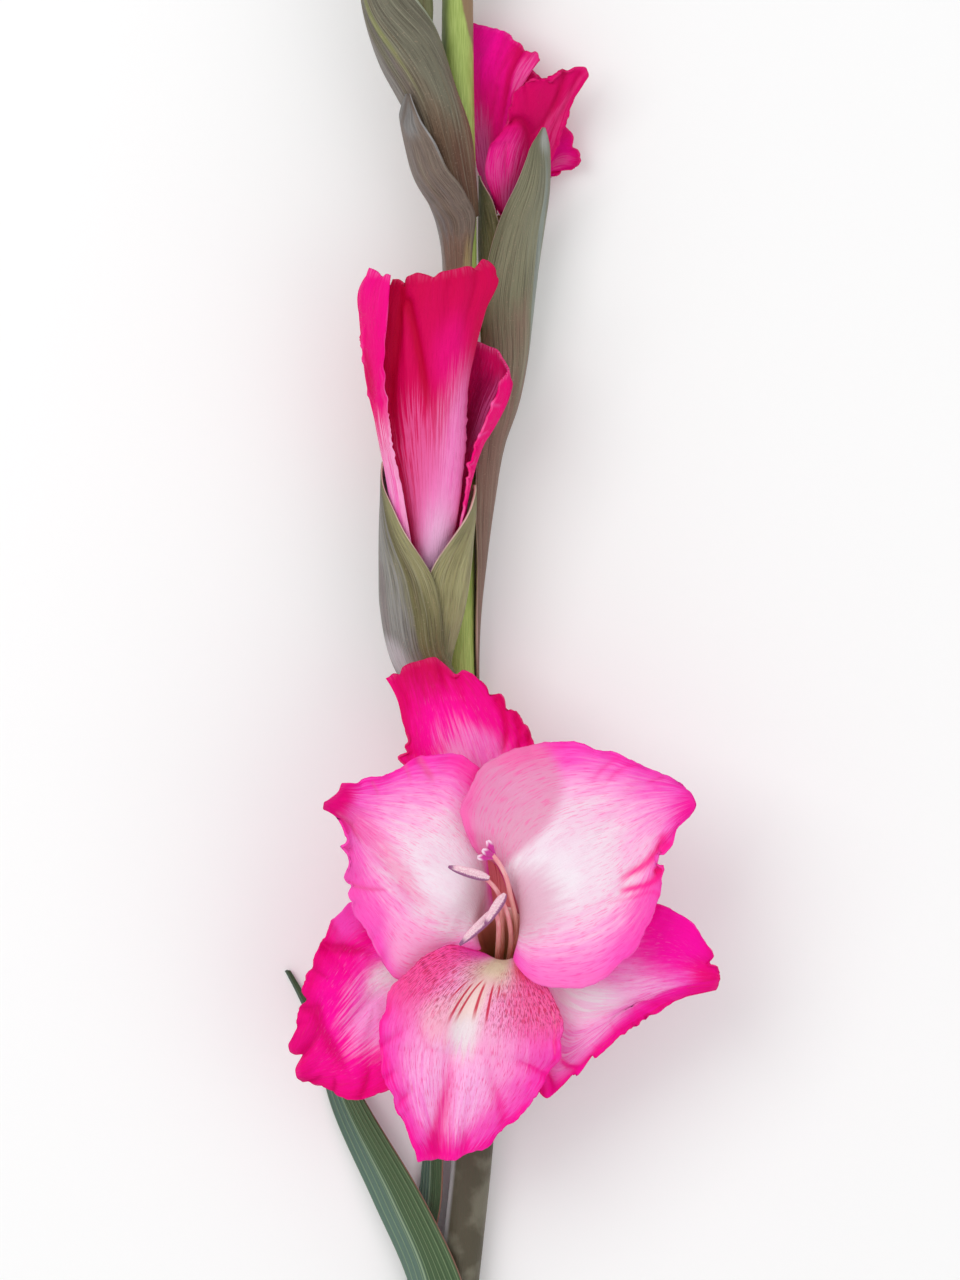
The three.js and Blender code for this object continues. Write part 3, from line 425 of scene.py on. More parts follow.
class Finish:
    """Node tree of one finish, with short calls for the nodes that it is made of."""

    def __init__(self, name, roughness, sheen=0.0, specular=0.35):
        self.material = bpy.data.materials.new(name)
        self.material.use_nodes = True
        self.tree = self.material.node_tree
        self.shader = self.tree.nodes["Principled BSDF"]
        self.shader.inputs["Roughness"].default_value = roughness
        self.shader.inputs["Specular IOR Level"].default_value = specular
        self.shader.inputs["Sheen Weight"].default_value = sheen
        self.across = self.attribute("across")
        self.along = self.attribute("along")
        self.colour = None

    def node(self, kind, inputs=None, out=0, **settings):
        node = self.tree.nodes.new(kind)
        for key, value in settings.items():
            setattr(node, key, value)
        for key, value in (inputs or {}).items():
            if isinstance(value, bpy.types.NodeSocket):
                self.tree.links.new(value, node.inputs[key])
            else:
                node.inputs[key].default_value = value
        return node.outputs[out]

    def attribute(self, name):
        return self.node("ShaderNodeAttribute", out="Fac", attribute_name=name)

    def place(self, axis):
        """X, Y or Z in metres in the frame."""
        position = self.node("ShaderNodeTexCoord", out="Object")
        return self.node("ShaderNodeSeparateXYZ", {0: position}, out=axis)

    def math(self, operation, a, b=0.0):
        return self.node("ShaderNodeMath", {0: a, 1: b}, operation=operation)

    def add(self, a, b):
        return self.math("ADD", a, b)

    def less(self, a, b):
        return self.math("SUBTRACT", a, b)

    def times(self, a, b):
        return self.math("MULTIPLY", a, b)

    def size(self, value):
        return self.math("ABSOLUTE", value)

    def fade(self, value, start, end):
        """0 at start, 1 at end and smooth between them; start may be the larger."""
        return self.node("ShaderNodeMapRange", {0: value, 1: start, 2: end},
                         interpolation_type="SMOOTHSTEP")

    def band(self, value, low, high, soft):
        """1 between low and high, fading over soft at both ends."""
        rise = self.fade(value, low - soft, low + soft)
        fall = self.fade(value, high + soft, high - soft)
        return self.times(rise, fall)

    def mix(self, share, a, b):
        """Colour a, or b where the share is 1. A colour is an output, a display colour or values."""
        inputs = {0: share}
        for key, colour in ((6, a), (7, b)):
            values = shade(colour) if isinstance(colour, str) else colour
            inputs[key] = (*values, 1) if isinstance(values, tuple) else values
        return self.node("ShaderNodeMix", inputs, out=2, data_type="RGBA")

    def over(self, mask, strength, tint):
        """Lays a tint over the colour so far, where the mask is above 0."""
        self.colour = self.mix(self.times(mask, strength), self.colour, tint)

    def ramp(self, value, stops):
        node = self.tree.nodes.new("ShaderNodeValToRGB")
        elements = node.color_ramp.elements
        ends = (elements[0], elements[1])
        for element, (position, colour) in zip(ends, (stops[0], stops[-1])):
            element.position = position
            element.color = (*shade(colour), 1)
        for position, colour in stops[1:-1]:
            elements.new(position).color = (*shade(colour), 1)
        self.tree.links.new(value, node.inputs[0])
        return node.outputs[0]

    def streaks(self, across, along, seed, detail=3.0):
        """Noise drawn out lengthwise: `across` cells over half the width, `along` over the length."""
        place = self.node("ShaderNodeCombineXYZ", {
            0: self.times(self.across, across), 1: self.times(self.along, along), 2: seed})
        return self.node("ShaderNodeTexNoise", {"Vector": place, "Scale": 1.0, "Detail": detail})

    def unevenness(self, across, along, seed, detail):
        """Streaks that run round 0 instead of 0.5."""
        return self.less(self.streaks(across, along, seed, detail), 0.5)

    def grain(self, cells_per_metre, detail=2.0):
        place = self.node("ShaderNodeTexCoord", out="Object")
        return self.node("ShaderNodeTexNoise",
                         {"Vector": place, "Scale": cells_per_metre, "Detail": detail})

    def spot(self, s, t, width, length, soft):
        """1 inside an ellipse on the sheet, fading to 0 at its edge over a share of its size."""
        side = self.math("DIVIDE", self.less(self.across, s), width)
        end = self.math("DIVIDE", self.less(self.along, t), length)
        away = self.math("SQRT", self.add(self.times(side, side), self.times(end, end)))
        return self.fade(away, 1.0, 1.0 - soft)

    def painted(self, height, distance):
        """The finished material, with its relief."""
        bump = self.node("ShaderNodeBump", {"Height": height, "Distance": distance, "Strength": 1.0})
        self.tree.links.new(bump, self.shader.inputs["Normal"])
        self.tree.links.new(self.colour, self.shader.inputs["Base Color"])
        return self.material


def petal_finish(name, settings):
    """Colour runs from the middle of a petal to its margin and breaks up along fine veins; in the
    folds a painted shade deepens it. A spot is across, along, half width, half length, colour,
    strength and how soft its edge is; rays are spots broken into lengthwise streaks."""
    f = Finish(name, roughness=0.6, specular=0.08)
    look = PETAL_LOOKS[name]
    seed = 1 + list(PETAL_LOOKS).index(name)
    side_reach, tip_reach = look.get("reach", (3, 4))
    side = f.math("POWER", f.size(f.across), side_reach)
    tip = f.math("POWER", f.along, tip_reach)
    margin = f.less(1, f.times(f.less(1, side), f.less(1, tip)))
    cloud = f.unevenness(3.2, 4.5, seed + 6, 3)
    veins = f.unevenness(24, 7, seed, 5)
    fine = f.streaks(90, 22, seed + 3, 2)
    ragged = f.times(f.add(0.2, margin), 0.75)
    broken = f.add(f.add(margin, f.times(veins, ragged)), f.times(cloud, look.get("cloud", 0.35)))
    f.colour = f.ramp(broken, look["ramp"])
    for s, t, width, length, tint, strength, soft in look.get("spots", ()):
        ragged = f.times(veins, look.get("ragged", 0.7) * soft)
        f.over(f.fade(f.add(f.spot(s, t, width, length, soft), ragged), 0.05, 0.95), strength, tint)
    streaks = f.fade(f.streaks(30, 4.5, seed + 9, 5), 0.36, 0.64)
    for s, t, width, length, tint, strength in look.get("rays", ()):
        lit = f.times(f.spot(s, t, width, length, 1.0), streaks)
        f.over(f.fade(lit, 0.05, 0.5), strength, tint)
    # The fold colour paints the shade in the folds; where a look gives a paler one, it paints light on
    # raised crinkles.
    fold = f.add(f.attribute("fold"), f.times(veins, 0.6))
    f.over(f.fade(fold, 0.1, 0.9), 0.85, look.get("fold", HOT))
    threads = f.times(f.fade(fine, 0.52, 0.68), f.band(margin, 0.12, 0.95, 0.12))
    f.over(threads, look.get("threads", 0.4) * settings.veins, look.get("thread", HOT))
    light = f.times(f.fade(fine, 0.42, 0.26), f.band(margin, 0.3, 0.75, 0.15))
    f.over(light, look.get("light", 0.2), LILAC)
    edge = f.math("MAXIMUM", f.size(f.across), f.along)
    f.over(f.times(f.fade(edge, 0.97, 0.998), f.fade(veins, -0.1, 0.25)), look.get("rim", 0.15), LILAC)
    if "marks" in look:
        look["marks"](f)
    height = f.add(f.times(veins, 0.6), f.times(fine, 0.4))
    return f.painted(f.add(height, f.times(f.grain(2600), 0.25)), settings.relief)


LIP_RED = "#c80038"
# Each dash of the lip: across at its start, drift sideways, first and last place along, half width.
LIP_DASHES = (
    (-0.28, -0.1, 0.14, 0.27, 0.017), (-0.15, -0.2, 0.14, 0.38, 0.021),
    (0.02, -0.26, 0.14, 0.37, 0.027), (0.04, 0.16, 0.13, 0.4, 0.021),
    (0.17, 0.06, 0.17, 0.42, 0.02), (0.27, 0.14, 0.18, 0.34, 0.015),
)


def lip_marks(f):
    """Cream root, fine red specks on the shoulders and thin red dashes that fan down the middle."""
    side = f.size(f.across)
    f.over(f.times(f.fade(f.along, 0.26, 0.06), f.fade(side, 0.8, 0.2)), 0.95, "#deceac")
    shoulders = f.times(f.band(f.along, 0.07, 0.38, 0.1), f.fade(side, 0.0, 0.4))
    for seed, across, along, tint in ((7.0, 70, 26, LIP_RED), (8.0, 120, 44, "#82103e")):
        f.over(f.times(f.fade(f.streaks(across, along, seed, 2), 0.53, 0.6), shoulders), 0.6, tint)
    for start, drift, first, last, width in LIP_DASHES:
        down = f.math("MAXIMUM", f.less(f.along, first), 0.0)
        line = f.add(start, f.times(f.math("SQRT", down), drift))
        ends = f.times(f.fade(f.along, first, first + 0.05), f.fade(f.along, last, last - 0.09))
        away = f.size(f.less(f.across, line))
        f.over(f.times(f.fade(away, 1.15 * width, 0.4 * width), ends), 0.9, LIP_RED)


def throat_wall(f):
    """The claw of the top petal, seen down the throat, is brownish red."""
    red = f.mix(f.fade(f.streaks(14, 3, 30.0), 0.5, 0.7), "#ec868a", "#ce5c64")
    f.colour = f.mix(f.fade(f.along, 0.46, 0.28), f.colour, red)


def wrapped_finish(name, wax_and_highlight_colour):
    """Bracts: two greens that meet in broad streaks, brown at the foot, fine lengthwise veins, a
    waxy bloom on the left that is partly a painted highlight, and a thin pale margin."""
    f = Finish(name, roughness=0.5, specular=0.3)
    look = BRACT_LOOKS[name]
    seed = 1 + list(BRACT_LOOKS).index(name)
    blotch = f.unevenness(2.6, 4, seed, 4)
    broad = f.unevenness(10, 1.1, seed + 1, 4)
    veins = f.streaks(44, 2.4, seed + 2, 4)
    side = f.add(f.across, f.add(f.times(blotch, 1.2), f.times(broad, 1.6)))
    f.colour = f.mix(f.fade(side, *look.get("turn", (0.5, -0.5))), look["right"], look["left"])
    brown = f.fade(f.add(broad, f.times(blotch, 0.5)), 0.04, 0.2)
    f.over(brown, look.get("brown", 0.45), "#685234")
    low = f.fade(f.add(f.along, f.times(blotch, 0.5)), *look.get("foot_reach", (0.35, 0.0)))
    f.over(low, 0.85, look["foot"])
    # Bluish grey from the left: partly the bracts' waxy bloom, partly a painted highlight on the lit
    # side.
    wax_start = look.get("wax", -0.4)
    f.over(f.fade(f.add(f.across, f.times(broad, 1.1)), wax_start, wax_start - 0.35), 0.75, wax_and_highlight_colour)
    for s, t, width, length, tint, strength in look.get("spots", ()):
        spread = f.add(f.spot(s, t, width, length, 1.0), f.times(broad, 0.8))
        f.over(f.fade(spread, 0.1, 0.8), strength, tint)
    f.over(f.fade(veins, 0.5, 0.7), 0.3, "#aca892")
    dark = f.fade(f.streaks(100, 6, seed + 5), 0.52, 0.7)
    f.over(dark, 0.4, "#4a3a32")
    f.over(f.fade(f.grain(2400, 1), 0.66, 0.72), 0.35, "#b09682")
    rim = look.get("rim", 0.975)
    free = f.fade(f.along, *look.get("margin", (0.0, 0.1)))
    f.over(f.times(f.fade(f.size(f.across), rim, rim + 0.017), free), 0.75, look.get("edge", "#e2beb6"))
    return f.painted(f.add(veins, f.times(dark, 0.5)), 0.25 * MM)


def leaf_finish(name, leaf_colour):
    """Dark green with lengthwise ribs, a bluish bloom on the left and a thin reddish right margin."""
    f = Finish(name, roughness=0.45, specular=0.4)
    ribs = f.math("SINE", f.times(f.across, 30.0))
    lines = f.streaks(46, 0.8, 4.0)
    f.colour = f.mix(f.fade(lines, 0.35, 0.7), leaf_colour, "#526c46")
    f.over(f.fade(f.add(f.across, f.times(f.less(lines, 0.5), 0.4)), -0.1, -0.45), 0.65, "#607c74")
    f.over(f.fade(ribs, 0.82, 0.98), 0.45, "#96ac80")
    f.over(f.fade(f.size(f.add(f.across, 0.28)), 0.05, 0.015), 0.6, "#a4b896")
    f.over(f.fade(f.across, 0.95, 0.99), 0.7, "#aa6e64")
    return f.painted(f.add(f.times(ribs, 0.5), lines), 0.3 * MM)


def stem_finish(name, stem_colour):
    """Fresh green, dark green on its left and mauve brown on its right, brown under the sheaths,
    olive brown with soft pale mottles at the foot, and a painted highlight down the foot's left side."""
    f = Finish(name, roughness=0.5, specular=0.3)
    length = f.place("Y")
    lines = f.streaks(14, 90, 2.0)
    mottle = f.grain(260, 4)
    wander = f.times(f.less(mottle, 0.5), 0.3)
    f.colour = f.mix(f.fade(lines, 0.35, 0.7), stem_colour, "#aec06c")
    f.over(f.fade(f.add(f.across, wander), -0.35, -0.85), 0.8, "#626c42")
    upper = f.times(f.fade(length, 0.236, 0.262), 1.15)
    f.over(f.fade(f.add(f.across, f.add(wander, upper)), 1.1, 1.3), 0.9, "#8a6854")
    f.over(f.times(f.band(length, 0.165, 0.215, 0.012), f.fade(f.across, 0.75, 0.1)), 0.8, "#846846")
    foot = f.fade(length, 0.03, -0.02)
    brown = f.mix(f.fade(f.grain(90, 4), 0.5, 0.66), "#4e4838", "#6e6a5a")
    f.colour = f.mix(foot, f.colour, brown)
    # A painted highlight: pale grey down the left side of the foot.
    f.over(f.times(foot, f.fade(f.across, -0.72, -0.94)), 0.6, "#ceccd0")
    return f.painted(f.add(lines, f.times(mottle, 0.5)), 0.2 * MM)


def tube_finish(name):
    """Pale pink outside, salmon to olive brown inside the throat, darkening to its bottom as painted
    shade.
    """
    f = Finish(name, roughness=0.55)
    path = f.attribute("path")
    lines = f.streaks(6, 3, 3.0, 4)
    outside = f.mix(f.fade(lines, 0.35, 0.7), "#e296a0", "#e6b0b0")
    # The darkest brown at the bottom of the throat is painted shade over its olive colour.
    f.colour = f.ramp(path, [(0.56, "#f0c8c4"), (0.7, "#d88c78"), (0.84, "#a07442"), (1.0, "#684c24")])
    f.over(f.fade(lines, 0.5, 0.7), 0.3, "#963c3c")
    f.colour = f.mix(f.fade(path, 0.54, 0.58), outside, f.colour)
    return f.painted(lines, 0.2 * MM)


def thread_finish(name):
    """Filaments and style: salmon, paler towards the root, faintly streaked."""
    f = Finish(name, roughness=0.45)
    lines = f.streaks(3, 12, 5.0)
    f.colour = f.mix(f.fade(f.along, 0.2, 0.95), "#dea082", "#f096a0")
    f.over(f.fade(lines, 0.4, 0.7), 0.5, "#fad6ce")
    return f.painted(lines, 0.08 * MM)


def stigma_finish(name):
    """Stigma: magenta lobes with whitish tips."""
    f = Finish(name, roughness=0.6, sheen=0.3)
    tips = f.fade(f.add(f.along, f.times(f.size(f.across), 0.2)), 0.8, 1.1)
    f.colour = f.mix(tips, "#ce2896", "#fad8ec")
    return f.painted(f.grain(5000), 0.1 * MM)


def anther_finish(name):
    """Pale lilac pink lobes with one dark purple edge and tip, dusted with pollen."""
    f = Finish(name, roughness=0.75, sheen=0.2)
    dust = f.grain(3400, 3)
    uneven = f.times(f.less(dust, 0.5), 0.5)
    f.colour = f.mix(f.fade(dust, 0.4, 0.65), "#ecbacc", "#f6dae0")
    edge = f.fade(f.add(f.across, uneven), -0.3, -0.75)
    ends = f.fade(f.add(f.along, f.times(uneven, 0.3)), 0.82, 0.95)
    f.over(f.math("MAXIMUM", edge, ends), 0.85, "#7a186c")
    return f.painted(dust, 0.12 * MM)


# Cells across and along each kind of sheet, and rings of the stem.
OPEN_PETAL_GRID = (104, 120)
HALF_OPEN_PETAL_GRID = (60, 110)
SIDE_PETAL_GRID = (52, 72)
LEAF_GRID = (40, 120)
BRACT_GRID = (32, 72)
UPPER_BRACT_GRID = (28, 56)
STEM_RINGS = 160

# Radii from root to tip, in millimetres.
FILAMENT_RADII = (0.8, 0.66, 0.6, 0.5)
ANTHER_RADII = (0.5, 1.15, 1.25, 1.15, 0.9, 0.3)
STYLE_RADII = (0.7, 0.6, 0.55)
STIGMA_RADII = (0.4, 0.6, 0.85, 0.45)
HALF_OPEN_TUBE_RADII = (1.6, 2, 2.6, 3.4)
SIDE_TUBE_RADII = (1.6, 1.9, 2.4, 3.5)
TIP_RADII = (1.2, 1.9)

# The flower's own lines, in millimetres.
SEAT_GAP = 0.4
BRACT_GAUGE = 0.7
UP_THE_SPIKE = (0, 1, 0)
MOUTH_CENTRE = [5.5, 30, 34]
MOUTH_LEAN = math.radians(30)


def mouth_point(degrees, radius, lift):
    """Root of a petal on the tube's mouth; 0 degrees is right, 90 is towards the spike's top."""
    turn = math.radians(degrees)
    rise = radius * math.sin(turn)
    return [
        MOUTH_CENTRE[0] + radius * math.cos(turn),
        MOUTH_CENTRE[1] + rise * math.cos(MOUTH_LEAN) + lift * math.sin(MOUTH_LEAN),
        MOUTH_CENTRE[2] - rise * math.sin(MOUTH_LEAN) + lift * math.cos(MOUTH_LEAN),
    ]


def inner_root(degrees):
    return mouth_point(degrees, 6.8, 0.9)


def outer_root(degrees):
    return mouth_point(degrees, 8.4, -1.5)


# Rows of x, y, z and radius.
STEM_ROWS = [
    [-7, -138, 4.6, 5], [-7, -109, 4.6, 5], [-6.5, -84, 4.6, 4.9], [-6, -65, 4.6, 4.9],
    [-4, -45, 4.6, 4.9], [-2, -26, 4.6, 4.9], [-0.5, -2, 4.6, 4.9], [-0.5, 24, 4.5, 4.7],
    [-3, 57, 6.2, 4.4], [-5.2, 88, 8, 4.1], [-5.2, 120, 10, 4], [-5, 159, 12.5, 4],
    [-4.6, 192, 14.3, 3.8], [-4.6, 206, 15, 3.7], [-5.4, 236, 16, 3.9], [-5.4, 260, 16.5, 3.7],
    [-5, 292, 16.3, 3], [-6, 328, 15.5, 2.2], [-7, 356, 14.5, 1.3],
]

# Each rail runs from root to tip; the rails lie side by side.
FRONT_LEAF_RAILS = [
    [[-12.3, -109, 2.4], [-12.3, -85, 2.6], [-13, -72, 3.2], [-17.5, -55, 5], [-26, -36, 4],
     [-36, -14, 1.8], [-42.8, 10.5, 0.8], [-47.5, 20, 0.7]],
    [[-11.9, -109, 8.3], [-11.7, -84.5, 8.3], [-12, -72, 8.5], [-14.5, -55, 8.4], [-22.5, -36, 6.2],
     [-33, -14, 3.2], [-42.3, 10.5, 1.3], [-47.3, 20, 0.9]],
    [[-7, -109, 10.7], [-6.6, -84, 10.7], [-7.5, -72, 11], [-11, -55, 10.6], [-19.5, -35.5, 8.2],
     [-31, -14, 5.2], [-41.8, 10.5, 1.7], [-47, 20, 1]],
    [[-2.1, -109, 8.4], [-1.6, -84.5, 8.4], [-2.6, -72, 9.8], [-8, -55, 11.2], [-17, -35.5, 8.7],
     [-29, -14, 6.2], [-41.2, 10.5, 1.9], [-46.7, 20, 1.1]],
    [[-1.4, -109, 2.6], [-0.8, -85, 3.6], [-0.2, -72, 7.8], [-4.5, -54.5, 11.4], [-13.5, -35.5, 9.2],
     [-26.5, -14, 6.7], [-40.7, 10.5, 1.9], [-46.4, 20, 1.1]],
]

BACK_LEAF_RAILS = [
    [[-12.7, -131, 2.5], [-14, -114.5, 1.8], [-17.6, -85, 1.2], [-18, -60.5, 1.1], [-15, -36, 1.3],
     [-13.5, -21.5, 1.6], [-12, -2, 2], [-11, 15.5, 3]],
    [[-12.2, -131, 7.6], [-14.4, -114, 6], [-16.7, -85, 3.5], [-16.5, -60.5, 2.4], [-11.5, -36, 3],
     [-11, -21.5, 3.5], [-10.5, -1.5, 4], [-10.5, 15.5, 4]],
    [[-8.5, -131, 10.2], [-12.6, -113.5, 8.6], [-15.9, -84.5, 5.2], [-15, -60.5, 3.2], [-9.5, -36, 5],
     [-9, -21, 5.5], [-8.5, -1.5, 6], [-10, 15.5, 5.5]],
]
